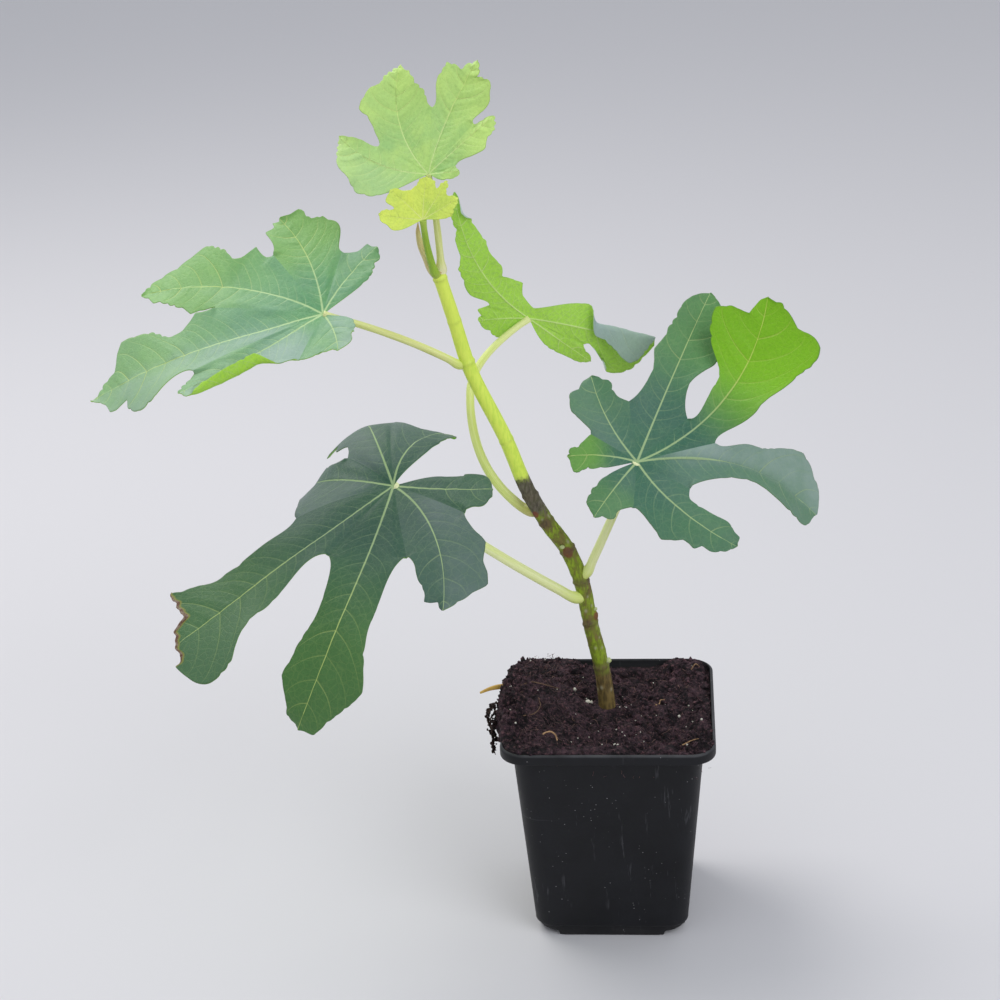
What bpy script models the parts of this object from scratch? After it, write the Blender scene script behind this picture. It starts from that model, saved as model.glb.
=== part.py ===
# A young fig tree with six lobed leaves in a square nursery pot.
# Metres, +Z up, the front of the pot faces -Y, the origin is the centre of the pot's flat underside.
import math

import bpy
import numpy as np

MM = 0.001
CLEAR = 0.3 * MM

# Pot: a thin square shell with a turned-down lip and an inset foot
RIM_HALF = 45.0 * MM
RIM_CORNER = 11.0 * MM
POT_HEIGHT = 95.7 * MM
LIP_DROP = 4.6 * MM
LIP_WIDTH = 4.2 * MM
SHELL = 1.0 * MM
NECK_HALF = 40.0 * MM
LEDGE_HALF = 33.0 * MM
LEDGE_HEIGHT = 5.5 * MM
FOOT_HALF = 31.9 * MM
FOOT_CORNER = 12.0 * MM
WALL_CORNER = 8.0 * MM
NECK_CORNER = 9.0 * MM
EDGE_ROUND = 0.6 * MM
LIP_FALL = 1.6 * MM
FLOOR = 1.4 * MM

# Compost: fills the pot and is heaped at the left, where it hangs over the lip
COMPOST_LEVEL = 89.0 * MM
FRONT_RISE = 3.5 * MM
HEAP_RISE = 13.0 * MM
HEAP_START = 8.0 * MM
HEAP_REACH = 30.0 * MM
HANG_OUT = 5.6 * MM
HANG_SPAN = 30.0 * MM
HANG_EDGE = 10.0 * MM
LUMP = 1.3 * MM
LUMP_WIDTHS = (3.1 * MM, 2.7 * MM, 1.9 * MM)
PAD_RADIUS = 6.0 * MM
TOP_SHARES = (0.985, 0.9, 0.76, 0.62, 0.48, 0.34, 0.2, 0.1)

# Stem: one tapering shoot made of internodes
STEM_FOOT = (-1.2 * MM, 7.0 * MM, 92.0 * MM)
STEM_FOOT_RADIUS = 4.5 * MM
# each internode: length in mm, lean to the left and to the front in degrees, radius at its end in mm
INTERNODES = (
    (5.0, 4.0, 0.0, 3.6),
    (14.5, 7.0, 0.0, 3.35),
    (21.0, 11.7, 0.0, 3.3),
    (19.6, 9.9, 0.0, 3.4),
    (16.1, 20.1, 1.9, 3.3),
    (15.6, 32.7, 2.2, 3.3),
    (13.5, 28.1, 0.0, 3.2),
    (26.7, 19.8, 2.3, 3.0),
    (37.6, 22.8, 1.7, 2.95),
    (18.5, 13.8, 3.2, 2.8),
    (20.0, 14.7, 2.8, 2.7),
    (3.6, 46.0, -14.0, 1.1),
    (4.9, 26.0, -4.0, 1.2),
    (6.0, 22.0, 0.0, 1.1),
    (6.0, 8.0, 0.0, 0.75),
    (3.6, -4.0, 0.0, 0.25),
)
STEM_SIDES = 12
STEM_RINGS = 46

STALK_SIDES = 8


def lobe(angle, turn, length, neck, belly, blunt, droop, rise):
    # neck and belly are (share of the length, half width to the left, half width to the right)
    return dict(angle=angle, turn=turn, length=length, neck=neck, belly=belly, blunt=blunt,
                droop=droop, rise=rise)


# Leaves: lobes run counterclockwise round the stalk's end, gaps are the rounded notches between them.
# face is the way the blade looks (degrees from the front to the right), face_up how far upward, spin how far the
# lobes' zero angle is turned about it. Angles in degrees, sizes in mm.
LEAVES = {
    "leaf_right": dict(
        stalk_end=(13.6, -2.0, 208.9), face=12, face_up=48, spin=27, reach=80, thick=1.5,
        lobes=(
            lobe(-147, 8, 33.0, (0.66, 10.5, 7.0), (0.84, 6.0, 6.4), 0.6, 25, 8),
            lobe(-81, 39, 55.5, (0.51, 6.4, 15.0), (0.83, 7.3, 7.2), 0.7, 25, 6),
            lobe(-8, -38, 87.0, (0.55, 10.0, 6.4), (0.76, 21.0, 9.5), 1.0, 50, 6),
            lobe(5, 54, 93.0, (0.54, 7.0, 15.0), (0.78, 20.0, 27.0), 0.9, -35, 2),
            lobe(50, -2, 87.0, (0.46, 8.8, 7.8), (0.64, 9.9, 13.7), 0.5, 15, 8),
            lobe(113, -30, 42.5, (0.60, 11.1, 11.7), (0.77, 12.3, 7.2), 1.2, 15, 8),
            lobe(149, 26, 29.5, (0.61, 6.0, 10.0), (0.88, 6.8, 4.0), 0.5, 25, 8),
        ),
        gaps=((-115, 22.3), (-49, 24.5), (-3, 33.6), (24, 28.9), (78, 26.7), (132, 22.0)),
    ),
    "leaf_left_lower": dict(
        stalk_end=(-85.8, -14.0, 204.2), face=-10, face_up=66, spin=215, reach=95, thick=2.0,
        lobes=(
            lobe(-133, -45, 27.0, (0.62, 8.0, 6.0), (0.85, 5.0, 6.0), 0.8, 60, 6),
            lobe(-106, -2, 44.0, (0.70, 11.0, 8.5), (0.88, 18.0, 5.0), 1.4, 60, 6),
            lobe(-46, -36, 60.0, (0.50, 8.0, 8.0), (0.75, 10.0, 10.0), 1.0, 190, 6),
            lobe(12, -21, 118.0, (0.66, 13.0, 13.0), (0.88, 25.0, 23.0), 1.5, 22, 4),
            lobe(48, -33, 117.0, (0.56, 12.3, 10.6), (0.76, 18.7, 14.0), 0.9, 50, 6),
            lobe(99, -50, 69.0, (0.62, 16.5, 13.8), (0.73, 18.0, 10.7), 0.8, 60, 6),
            lobe(124, 20, 42.5, (0.50, 7.0, 4.0), (0.75, 8.0, 9.0), 1.0, 40, 6),
        ),
        gaps=((-124, 27.0), (-78, 28.0), (-20, 42.0), (21, 43.9), (65, 41.1), (112, 36.0)),
    ),
    "leaf_left_upper": dict(
        stalk_end=(-111.4, -4.0, 275.0), face=-12, face_up=55, spin=190, reach=85, thick=1.7,
        lobes=(
            lobe(-130, -18, 37.5, (0.66, 8.7, 8.3), (0.86, 5.5, 5.2), 0.6, 20, 6),
            lobe(-98, 34, 54.0, (0.68, 11.9, 18.0), (0.88, 9.0, 9.0), 0.5, 15, 8),
            lobe(-47, 40, 82.0, (0.50, 9.6, 15.5), (0.65, 11.4, 18.0), 0.6, 20, 8),
            lobe(2, -7, 105.0, (0.55, 13.5, 13.0), (0.72, 16.8, 18.0), 0.3, 25, 6),
            lobe(24, -11, 66.5, (0.62, 5.0, 2.5), (0.85, 5.0, 5.0), 0.8, 10, 6),
            lobe(112, -30, 23.0, (0.50, 9.0, 13.0), (0.80, 6.5, 9.0), 0.9, 20, 6),
        ),
        gaps=((-117, 30.0), (-68, 37.6), (-22, 45.3), (11, 56.7), (58, 25.0)),
    ),
    "leaf_back": dict(
        stalk_end=(-31.6, 42.0, 257.0), face=190, face_up=8, spin=25, reach=60, thick=1.0,
        lobes=(
            lobe(-146, -12, 21.5, (0.65, 8.0, 8.6), (0.85, 5.6, 4.8), 0.6, -10, 0),
            lobe(-115, 48, 65.0, (0.38, 9.5, 13.0), (0.64, 6.5, 5.0), 0.4, -25, 0),
            lobe(39, 13, 57.5, (0.50, 8.0, 5.0), (0.80, 16.5, 8.5), 1.2, -10, 0),
            lobe(68, -2, 34.5, (0.45, 5.5, 2.5), (0.80, 4.0, 3.5), 1.0, 5, 0),
        ),
        gaps=((-130, 18.0), (-40, 5.0), (58, 27.0)),
    ),
    "leaf_top": dict(
        stalk_end=(-66.8, 4.0, 329.6), face=-8, face_up=40, spin=60, reach=45, thick=0.9,
        lobes=(
            lobe(-74, 8, 13.0, (0.50, 2.0, 3.0), (0.80, 2.0, 2.5), 0.8, 10, 10),
            lobe(-31, -1, 34.5, (0.62, 3.5, 8.2), (0.85, 2.5, 5.2), 0.6, 10, 14),
            lobe(7, -22, 49.0, (0.55, 7.6, 11.8), (0.73, 10.5, 14.3), 0.4, 0, 14),
            lobe(67, -62, 48.5, (0.50, 10.5, 14.5), (0.66, 13.6, 12.9), 0.4, 5, 14),
            lobe(114, -52, 41.0, (0.52, 15.0, 7.8), (0.72, 10.5, 5.5), 0.4, 10, 12),
        ),
        gaps=((-58, 11.5), (-24, 26.5), (18, 26.7), (81, 23.0)),
    ),
    "leaf_young": dict(
        stalk_end=(-68.6, -8.0, 314.4), face=-5, face_up=28, spin=85, reach=20, thick=0.5,
        lobes=(
            lobe(-66, 0, 16.5, (0.68, 3.2, 4.9), (0.86, 2.6, 2.4), 0.6, 5, 10),
            lobe(-38, 0, 18.0, (0.72, 2.3, 3.1), (0.86, 1.6, 1.7), 0.5, 5, 10),
            lobe(-5, -10, 17.0, (0.70, 4.5, 5.0), (0.87, 3.0, 3.9), 0.6, 5, 10),
            lobe(41, 4, 17.5, (0.64, 4.8, 4.9), (0.86, 5.0, 2.4), 0.6, 5, 10),
            lobe(83, -8, 17.6, (0.61, 5.5, 3.6), (0.84, 3.4, 2.4), 0.8, 5, 10),
        ),
        gaps=((-51, 13.6), (-29, 13.4), (18, 12.6), (65, 12.2)),
    ),
}
GRID = {"leaf_young": (3, 4), "leaf_top": (3, 6), "leaf_back": (3, 6)}
FULL_GRID = (4, 7)
HALF_CELLS = 2
NOTCH_ANGLE = 26
# how a margin leaves its notch (across and along), and how it runs into the tip
LEAVE = (0.8, 0.35)
TIP_ALONG = 0.45
MARGIN_STEPS = 12
PAST = 0.06
# how rows crowd toward a lobe's tip, how bends grow along a ray, and where a lobe bends by its own values
CROWD = 1.15
JOINED = (0.2, 0.62)
BEND_POWER = 1.5
BEND_STEPS = 12
FREE_SHARE = 0.3

# Stalks in mm: the first end, the corner the curve turns round and the last end unless a leaf sits on it
STALKS = {
    "stalk_left_lower": dict(
        on_stem=True, leaf="leaf_left_lower", radii=(2.3, 1.9),
        points=((-14.3, 4.4, 145.0), (-47.0, -4.0, 168.0))),
    "stalk_right": dict(
        on_stem=True, leaf="leaf_right", radii=(2.0, 1.7),
        points=((-7.6, 6.0, 157.2), (2.8, 3.0, 182.0))),
    "stalk_back_lower": dict(
        on_stem=True, leaf=None, radii=(2.2, 1.8),
        points=((-34.2, 9.0, 184.2), (-56.8, 12.0, 200.0), (-56.4, 26.0, 229.7))),
    "stalk_back_upper": dict(
        on_stem=False, leaf="leaf_back", radii=(1.8, 1.3),
        points=((-56.4, 26.3, 230.0), (-56.2, 32.0, 243.0))),
    "stalk_left_upper": dict(
        on_stem=True, leaf="leaf_left_upper", radii=(1.7, 1.4),
        points=((-58.1, 3.0, 250.4), (-81.3, 0.0, 265.0))),
    "stalk_top": dict(
        on_stem=False, leaf="leaf_top", radii=(1.7, 1.1),
        points=((-64.6, 3.2, 292.0), (-64.8, 5.0, 308.0))),
    "stalk_young": dict(
        on_stem=False, leaf="leaf_young", radii=(1.1, 1.2),
        points=((-66.2, -0.2, 290.9), (-68.4, -3.2, 302.0))),
}
STALK_RINGS = 8

COLOURS = {
    "pot": ((0.012, 0.012, 0.013, 1.0), 0.4),
    "compost": ((0.020, 0.010, 0.008, 1.0), 0.95),
    "trunk": ((0.30, 0.36, 0.06, 1.0), 0.5),
    "stalk": ((0.52, 0.58, 0.20, 1.0), 0.45),
    "leaf_right": ((0.05, 0.14, 0.06, 1.0), 0.5),
    "leaf_left_lower": ((0.04, 0.11, 0.06, 1.0), 0.5),
    "leaf_left_upper": ((0.16, 0.34, 0.13, 1.0), 0.5),
    "leaf_back": ((0.22, 0.42, 0.07, 1.0), 0.5),
    "leaf_top": ((0.28, 0.48, 0.10, 1.0), 0.5),
    "leaf_young": ((0.50, 0.62, 0.10, 1.0), 0.5),
}


def clear_scene():
    for item in list(bpy.data.objects):
        bpy.data.objects.remove(item, do_unlink=True)
    for block in (bpy.data.meshes, bpy.data.materials):
        for item in list(block):
            block.remove(item)


def paint(name):
    key = name if name in COLOURS else "stalk"
    colour, rough = COLOURS[key]
    mat = bpy.data.materials.new(name)
    mat.use_nodes = True
    shader = mat.node_tree.nodes["Principled BSDF"]
    shader.inputs["Base Color"].default_value = colour
    shader.inputs["Roughness"].default_value = rough
    shader.inputs["Metallic"].default_value = 0.0
    return mat


def add_solid(name, points, faces, smooth=True):
    mesh = bpy.data.meshes.new(name)
    mesh.from_pydata([tuple(float(c) for c in p) for p in points], [], faces)
    mesh.validate()
    mesh.update()
    mesh.materials.append(paint(name))
    for face in mesh.polygons:
        face.use_smooth = smooth
    item = bpy.data.objects.new(name, mesh)
    bpy.context.scene.collection.objects.link(item)
    return item


def ease(t):
    t = np.clip(t, 0.0, 1.0)
    return t * t * (3.0 - 2.0 * t)


def skin_rings(rings):
    # quads between rings of equal count, with a flat cap on the first and the last
    count = len(rings[0])
    points = [p for ring in rings for p in ring]
    faces = [tuple(reversed(range(count)))]
    for k in range(len(rings) - 1):
        for i in range(count):
            j = (i + 1) % count
            faces.append((k * count + i, k * count + j, (k + 1) * count + j, (k + 1) * count + i))
    last = (len(rings) - 1) * count
    faces.append(tuple(range(last, last + count)))
    return points, faces


def round_square(half, corner, height, steps=6):
    # counterclockwise from above, arcs of equal steps at the four corners
    ring = []
    for k in range(4):
        sx = (1, -1, -1, 1)[k]
        sy = (1, 1, -1, -1)[k]
        for i in range(steps + 1):
            turn = math.radians(90.0 * (k + i / steps))
            ring.append((sx * (half - corner) + corner * math.cos(turn),
                         sy * (half - corner) + corner * math.sin(turn), height))
    return ring


def wall_half(height):
    # the outer half width of the wall between its ledge and the lip
    share = (height - LEDGE_HEIGHT) / (POT_HEIGHT - LIP_DROP - LEDGE_HEIGHT)
    return LEDGE_HALF + (NECK_HALF - LEDGE_HALF) * share


def build_pot():
    # up the outside, round the lip and down the inside, one rounded square per height
    lip_low = POT_HEIGHT - LIP_DROP
    under = POT_HEIGHT - SHELL
    inner = RIM_HALF - LIP_WIDTH
    rings = [
        round_square(FOOT_HALF - EDGE_ROUND, FOOT_CORNER, 0.0),
        round_square(FOOT_HALF, FOOT_CORNER, EDGE_ROUND),
        round_square(FOOT_HALF + 0.3 * MM, FOOT_CORNER, LEDGE_HEIGHT - 0.5 * MM),
        round_square(LEDGE_HALF, WALL_CORNER, LEDGE_HEIGHT),
        round_square(wall_half(lip_low), NECK_CORNER, lip_low),
        round_square(wall_half(under), NECK_CORNER, under),
        round_square(RIM_HALF - SHELL, RIM_CORNER - SHELL, under),
        round_square(RIM_HALF - SHELL, RIM_CORNER - SHELL, lip_low),
        round_square(RIM_HALF, RIM_CORNER, lip_low),
        round_square(RIM_HALF, RIM_CORNER, POT_HEIGHT - EDGE_ROUND),
        round_square(RIM_HALF - EDGE_ROUND, RIM_CORNER - EDGE_ROUND, POT_HEIGHT),
        round_square(inner - EDGE_ROUND, WALL_CORNER, POT_HEIGHT),
        round_square(wall_half(under) - SHELL, WALL_CORNER, POT_HEIGHT - LIP_FALL),
        round_square(LEDGE_HALF - SHELL, WALL_CORNER - SHELL, LEDGE_HEIGHT + 0.5 * MM),
        round_square(FOOT_HALF - SHELL, FOOT_CORNER - SHELL, LEDGE_HEIGHT - SHELL),
        round_square(FOOT_HALF - 2 * SHELL, FOOT_CORNER - SHELL, FLOOR),
    ]
    points, faces = skin_rings(rings)
    add_solid("pot", points, faces, smooth=False)


def compost_height(x, y):
    # level at the right and back, rising to the front and heaped up at the left, with lumps
    x = np.asarray(x)
    y = np.asarray(y)
    heap = HEAP_RISE * ease((-x - HEAP_START) / HEAP_REACH) * (0.72 + 0.28 * ease((y + 34 * MM) / (50 * MM)))
    front = FRONT_RISE * ease((-y - 5 * MM) / (30 * MM))
    wide, deep, slant = LUMP_WIDTHS
    lumps = LUMP * (np.sin(x / wide + 1.3) * np.sin(y / deep + 0.4) + 0.6 * np.sin((x + y) / slant))
    z = COMPOST_LEVEL + heap + front + lumps
    near = np.hypot(x - STEM_FOOT[0], y - STEM_FOOT[1])
    pad = STEM_FOOT[2] - CLEAR
    return pad + (z - pad) * ease((near - PAD_RADIUS) / PAD_RADIUS)


def fine_square(half, corner, steps=3, side_steps=6):
    # the rounded square with extra points along its straight sides
    coarse = np.array(round_square(half, corner, 0.0, steps))
    ring = []
    for k in range(4):
        arc = coarse[k * (steps + 1):(k + 1) * (steps + 1)]
        after = coarse[((k + 1) * (steps + 1)) % len(coarse)]
        ring.extend(arc)
        for i in range(1, side_steps):
            ring.append(arc[-1] + (after - arc[-1]) * i / side_steps)
    return np.array(ring)


def inner_half(height):
    # the inner half width of the wall between the foot and the lip
    low = LEDGE_HEIGHT + 0.5 * MM
    high = POT_HEIGHT - LIP_FALL
    share = np.clip((height - low) / (high - low), 0.0, 1.0)
    return LEDGE_HALF + (wall_half(POT_HEIGHT - SHELL) - LEDGE_HALF) * share - SHELL


def build_compost():
    gap = SHELL + CLEAR
    lip_top = POT_HEIGHT + CLEAR
    throat = inner_half(POT_HEIGHT) - CLEAR
    levels = (
        (FOOT_HALF - 2 * SHELL - CLEAR, FOOT_CORNER - gap, FLOOR + CLEAR),
        (FOOT_HALF - gap, FOOT_CORNER - gap, LEDGE_HEIGHT - SHELL),
        (LEDGE_HALF - gap - CLEAR, WALL_CORNER - gap, LEDGE_HEIGHT + 0.9 * MM),
    )
    rings = []
    for half, corner, height in levels:
        ring = fine_square(half, corner)
        ring[:, 2] = height
        rings.append(ring)
    edge = fine_square(throat, WALL_CORNER - CLEAR)
    top = compost_height(edge[:, 0], edge[:, 1])
    wall = edge.copy()
    wall[:, 2] = np.minimum(POT_HEIGHT - 4.0 * MM, top - 2.0 * MM)
    wall[:, :2] *= ((inner_half(wall[:, 2]) - 1.2 * CLEAR) / throat)[:, None]
    rings.append(wall)
    # the left side is carried over the lip, clear of it
    left = edge[:, 0] < -0.74 * throat
    brim = edge.copy()
    brim[:, 2] = np.where(left, lip_top, top - 0.6 * MM)
    brim[:, :2] *= ((inner_half(brim[:, 2]) - 1.2 * CLEAR) / throat)[:, None]
    rings.append(brim)
    over = ease((HANG_SPAN - np.abs(edge[:, 1])) / HANG_EDGE) * left
    out = brim.copy()
    out[:, 0] -= over * (RIM_HALF + HANG_OUT - throat)
    out[:, 2] = np.where(left, lip_top + 0.2 * MM, top - 0.4 * MM)
    rings.append(out)
    # the top shrinks to the stem ring by ring and follows the height
    centre = np.array([STEM_FOOT[0], STEM_FOOT[1]])
    for share in TOP_SHARES:
        ring = out.copy()
        ring[:, :2] = centre + (out[:, :2] - centre) * share
        z = compost_height(ring[:, 0], ring[:, 1])
        if share == TOP_SHARES[0]:
            z = np.maximum(z - 3.0 * MM * over, out[:, 2] + 0.3 * MM)
        ring[:, 2] = z
        rings.append(ring)
    points, faces = skin_rings(rings)
    add_solid("compost", points, faces)


def stem_line():
    # node points and radii from the internodes, then a smooth curve through them
    here = np.array(STEM_FOOT)
    nodes = [here]
    radii = [STEM_FOOT_RADIUS]
    for length, left, front, radius in INTERNODES:
        a = math.radians(left)
        b = math.radians(front)
        way = np.array([-math.tan(a), -math.tan(b), 1.0])
        here = here + way / np.linalg.norm(way) * length * MM
        nodes.append(here)
        radii.append(radius * MM)
    return np.array(nodes), np.array(radii)


def smooth_through(nodes, radii, count):
    # a cubic through the nodes by length, each tangent taken from its neighbours
    step = np.linalg.norm(np.diff(nodes, axis=0), axis=1)
    at = np.concatenate([[0.0], np.cumsum(step)])
    tangent = np.gradient(nodes, at, axis=0)
    s = np.unique(np.concatenate([np.linspace(0.0, at[-1], count), at]))
    keep = np.concatenate([[True], np.diff(s) > 0.8 * MM])
    keep[-1] = True
    s = s[keep]
    k = np.clip(np.searchsorted(at, s, side="right") - 1, 0, len(step) - 1)
    h = step[k][:, None]
    t = ((s - at[k]) / step[k])[:, None]
    line = ((2 * t ** 3 - 3 * t ** 2 + 1) * nodes[k] + (t ** 3 - 2 * t ** 2 + t) * h * tangent[k]
            + (3 * t ** 2 - 2 * t ** 3) * nodes[k + 1] + (t ** 3 - t ** 2) * h * tangent[k + 1])
    return line, np.interp(s, at, radii)


def tube_rings(line, radii, sides, first_normal=None):
    # circles square to the line; the first may lie in another plane
    way = np.gradient(line, axis=0)
    way /= np.linalg.norm(way, axis=1)[:, None]
    across = np.cross(way, [0.0, 1.0, 0.0])
    across /= np.linalg.norm(across, axis=1)[:, None]
    other = np.cross(way, across)
    turn = np.arange(sides) * 2 * math.pi / sides
    rings = []
    for p, w, u, v, r in zip(line, way, across, other, radii):
        ring = p + r * (np.cos(turn)[:, None] * u + np.sin(turn)[:, None] * v)
        rings.append(ring)
    if first_normal is not None:
        n = np.array(first_normal)
        off = (rings[0] - line[0]) @ n / (way[0] @ n)
        rings[0] = rings[0] - off[:, None] * way[0]
    return rings


def build_trunk():
    nodes, radii = stem_line()
    line, radius = smooth_through(nodes, radii, STEM_RINGS)
    rings = tube_rings(line, radius, STEM_SIDES)
    rings[0][:, 2] = STEM_FOOT[2]
    points, faces = skin_rings(rings)
    add_solid("trunk", points, faces)
    return line, radius


def vein(spec, s):
    # a vein leaves at its angle and turns evenly by its turn over its length
    bend = math.radians(spec["turn"] if abs(spec["turn"]) > 0.1 else 0.1) / spec["length"]
    start = math.radians(spec["angle"])
    way = start + bend * s
    at = np.stack([(np.sin(way) - math.sin(start)) / bend, (math.cos(start) - np.cos(way)) / bend], -1)
    return at, np.stack([np.cos(way), np.sin(way)], -1)


def cubic(p0, p1, t0, t1, u):
    u = u[:, None]
    return ((2 * u ** 3 - 3 * u ** 2 + 1) * p0 + (u ** 3 - 2 * u ** 2 + u) * t0
            + (3 * u ** 2 - 2 * u ** 3) * p1 + (u ** 3 - u ** 2) * t1)


def margin(spec, side, gap=None):
    # one edge of a lobe from its notch past its neck and belly to its tip, side is 1 for left, -1 for right;
    # with no notch it starts at the stalk's end, and what the notch already lies past is left out
    length = spec["length"]
    pick = 1 if side > 0 else 2
    at, way = vein(spec, np.array([spec["neck"][0], spec["belly"][0], 1.0]) * length)
    out = np.stack([-way[:, 1], way[:, 0]], -1) * side
    if gap is None:
        start = math.radians(spec["angle"] + side * NOTCH_ANGLE)
        gap = np.zeros(2)
        leave = np.array([math.cos(start), math.sin(start)])
    else:
        along = gap / np.linalg.norm(gap)
        leave = np.array([along[1], -along[0]]) * side * LEAVE[0] + along * LEAVE[1]
    neck = at[0] + out[0] * spec["neck"][pick]
    belly = at[1] + out[1] * spec["belly"][pick]
    stops = [(gap, leave)]
    if (neck - gap) @ way[0] > PAST * length:
        stops.append((neck, way[0]))
    if (belly - gap) @ way[1] > PAST * length:
        stops.append((belly, way[1]))
    stops.append((at[2], way[2] * TIP_ALONG - out[2] * spec["blunt"]))
    curve = [gap[None]]
    for (p0, t0), (p1, t1) in zip(stops[:-1], stops[1:]):
        far = np.linalg.norm(p1 - p0)
        curve.append(cubic(p0, p1, t0 * far, t1 * far, np.linspace(0, 1, MARGIN_STEPS))[1:])
    return np.concatenate(curve)


def by_length(curve, share):
    step = np.linalg.norm(np.diff(curve, axis=0), axis=1)
    at = np.concatenate([[0.0], np.cumsum(step)])
    want = np.asarray(share) * at[-1]
    return np.stack([np.interp(want, at, curve[:, 0]), np.interp(want, at, curve[:, 1])], -1)


def round_leaf(turn, angles, values):
    # a value given per lobe, eased from lobe to lobe round the stalk's end
    a = np.array(angles, float)
    v = np.array(values, float)
    a = np.concatenate([[a[-1] - 360.0], a, [a[0] + 360.0]])
    v = np.concatenate([[v[-1]], v, [v[0]]])
    turn = (turn - a[1]) % 360.0 + a[1]
    k = np.clip(np.searchsorted(a, turn, side="right") - 1, 0, len(a) - 2)
    return v[k] + (v[k + 1] - v[k]) * ease((turn - a[k]) / (a[k + 1] - a[k]))


def leaf_axes(leaf):
    # columns: the middle lobe's way, the way to its left and the way the blade looks
    side = math.radians(leaf["face"])
    up = math.radians(leaf["face_up"])
    spin = math.radians(leaf["spin"])
    look = np.array([math.sin(side) * math.cos(up), -math.cos(side) * math.cos(up), math.sin(up)])
    flat = np.cross([0.0, 1.0, 0.0], look)
    flat /= np.linalg.norm(flat)
    first = flat * math.cos(spin) + np.cross(look, flat) * math.sin(spin)
    return np.stack([first, np.cross(look, first), look], 1)


def bend_leaf(leaf, flat, owner, ways, free_from):
    # each ray from the stalk's end rises by its lobe's rise and droops more and more toward its tip;
    # past its notches a lobe keeps its own rise and droop, nearer in they ease round the leaf
    r = np.linalg.norm(flat, axis=1) + 1e-9
    turn = np.degrees(np.arctan2(flat[:, 1], flat[:, 0]))
    own = ease((r - free_from[owner]) / (FREE_SHARE * leaf["reach"])) * (owner >= 0)
    bends = []
    for key in ("droop", "rise"):
        values = np.array([one[key] for one in leaf["lobes"]], float)
        shared = round_leaf(turn, ways, values)
        bends.append(shared + (values[owner] - shared) * own)
    droop, rise = bends
    share = (np.arange(BEND_STEPS) + 0.5) / BEND_STEPS
    slope = np.radians(rise[:, None] - droop[:, None] * (r[:, None] * share / leaf["reach"]) ** BEND_POWER)
    out = np.cos(slope).mean(1)
    local = np.stack([flat[:, 0] * out, flat[:, 1] * out, np.sin(slope).mean(1) * r], 1)
    return (local @ leaf_axes(leaf).T + np.array(leaf["stalk_end"])) * MM


def build_stalk(name, spec, stem, stem_radius):
    points = [np.array(p) * MM for p in spec["points"]]
    r0, r1 = (r * MM for r in spec["radii"])
    if spec["leaf"]:
        leaf = LEAVES[spec["leaf"]]
        look = leaf_axes(leaf)[:, 2]
        under = np.array(leaf["stalk_end"]) * MM - look * (leaf["thick"] * MM / 2 + CLEAR)
        way = (under - points[-1]) / np.linalg.norm(under - points[-1])
        points.append(under - look * r1 * math.sqrt(1 - (way @ look) ** 2))
    first, corner, last = points
    normal = None
    if spec["on_stem"]:
        k = int(np.argmin(np.linalg.norm(stem - first, axis=1)))
        axis = stem[min(k + 1, len(stem) - 1)] - stem[max(k - 1, 0)]
        axis = axis / np.linalg.norm(axis)
        # the nearest point of the stem's axis, then out to its bark and the clear gap
        foot = stem[k] + axis * ((first - stem[k]) @ axis)
        normal = (first - foot) / np.linalg.norm(first - foot)
        first = foot + normal * (stem_radius[k] + CLEAR)
    t = np.linspace(0.0, 1.0, STALK_RINGS)[:, None]
    line = (1 - t) ** 2 * first + 2 * t * (1 - t) * corner + t ** 2 * last
    radii = r0 + (r1 - r0) * t[:, 0]
    rings = tube_rings(line, radii, STALK_SIDES, normal)
    points, faces = skin_rings(rings)
    add_solid(name, points, faces)


def reach_of(spec, gaps):
    # how far along its vein a lobe is joined to its neighbours: the vein's points nearest to its notches
    s = np.linspace(0.0, spec["length"], 60)
    at, way = vein(spec, s)
    near = [s[np.argmin(np.linalg.norm(at - gap, axis=1))] for gap in gaps if gap is not None]
    return np.clip(np.mean(near), JOINED[0] * spec["length"], JOINED[1] * spec["length"])


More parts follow.
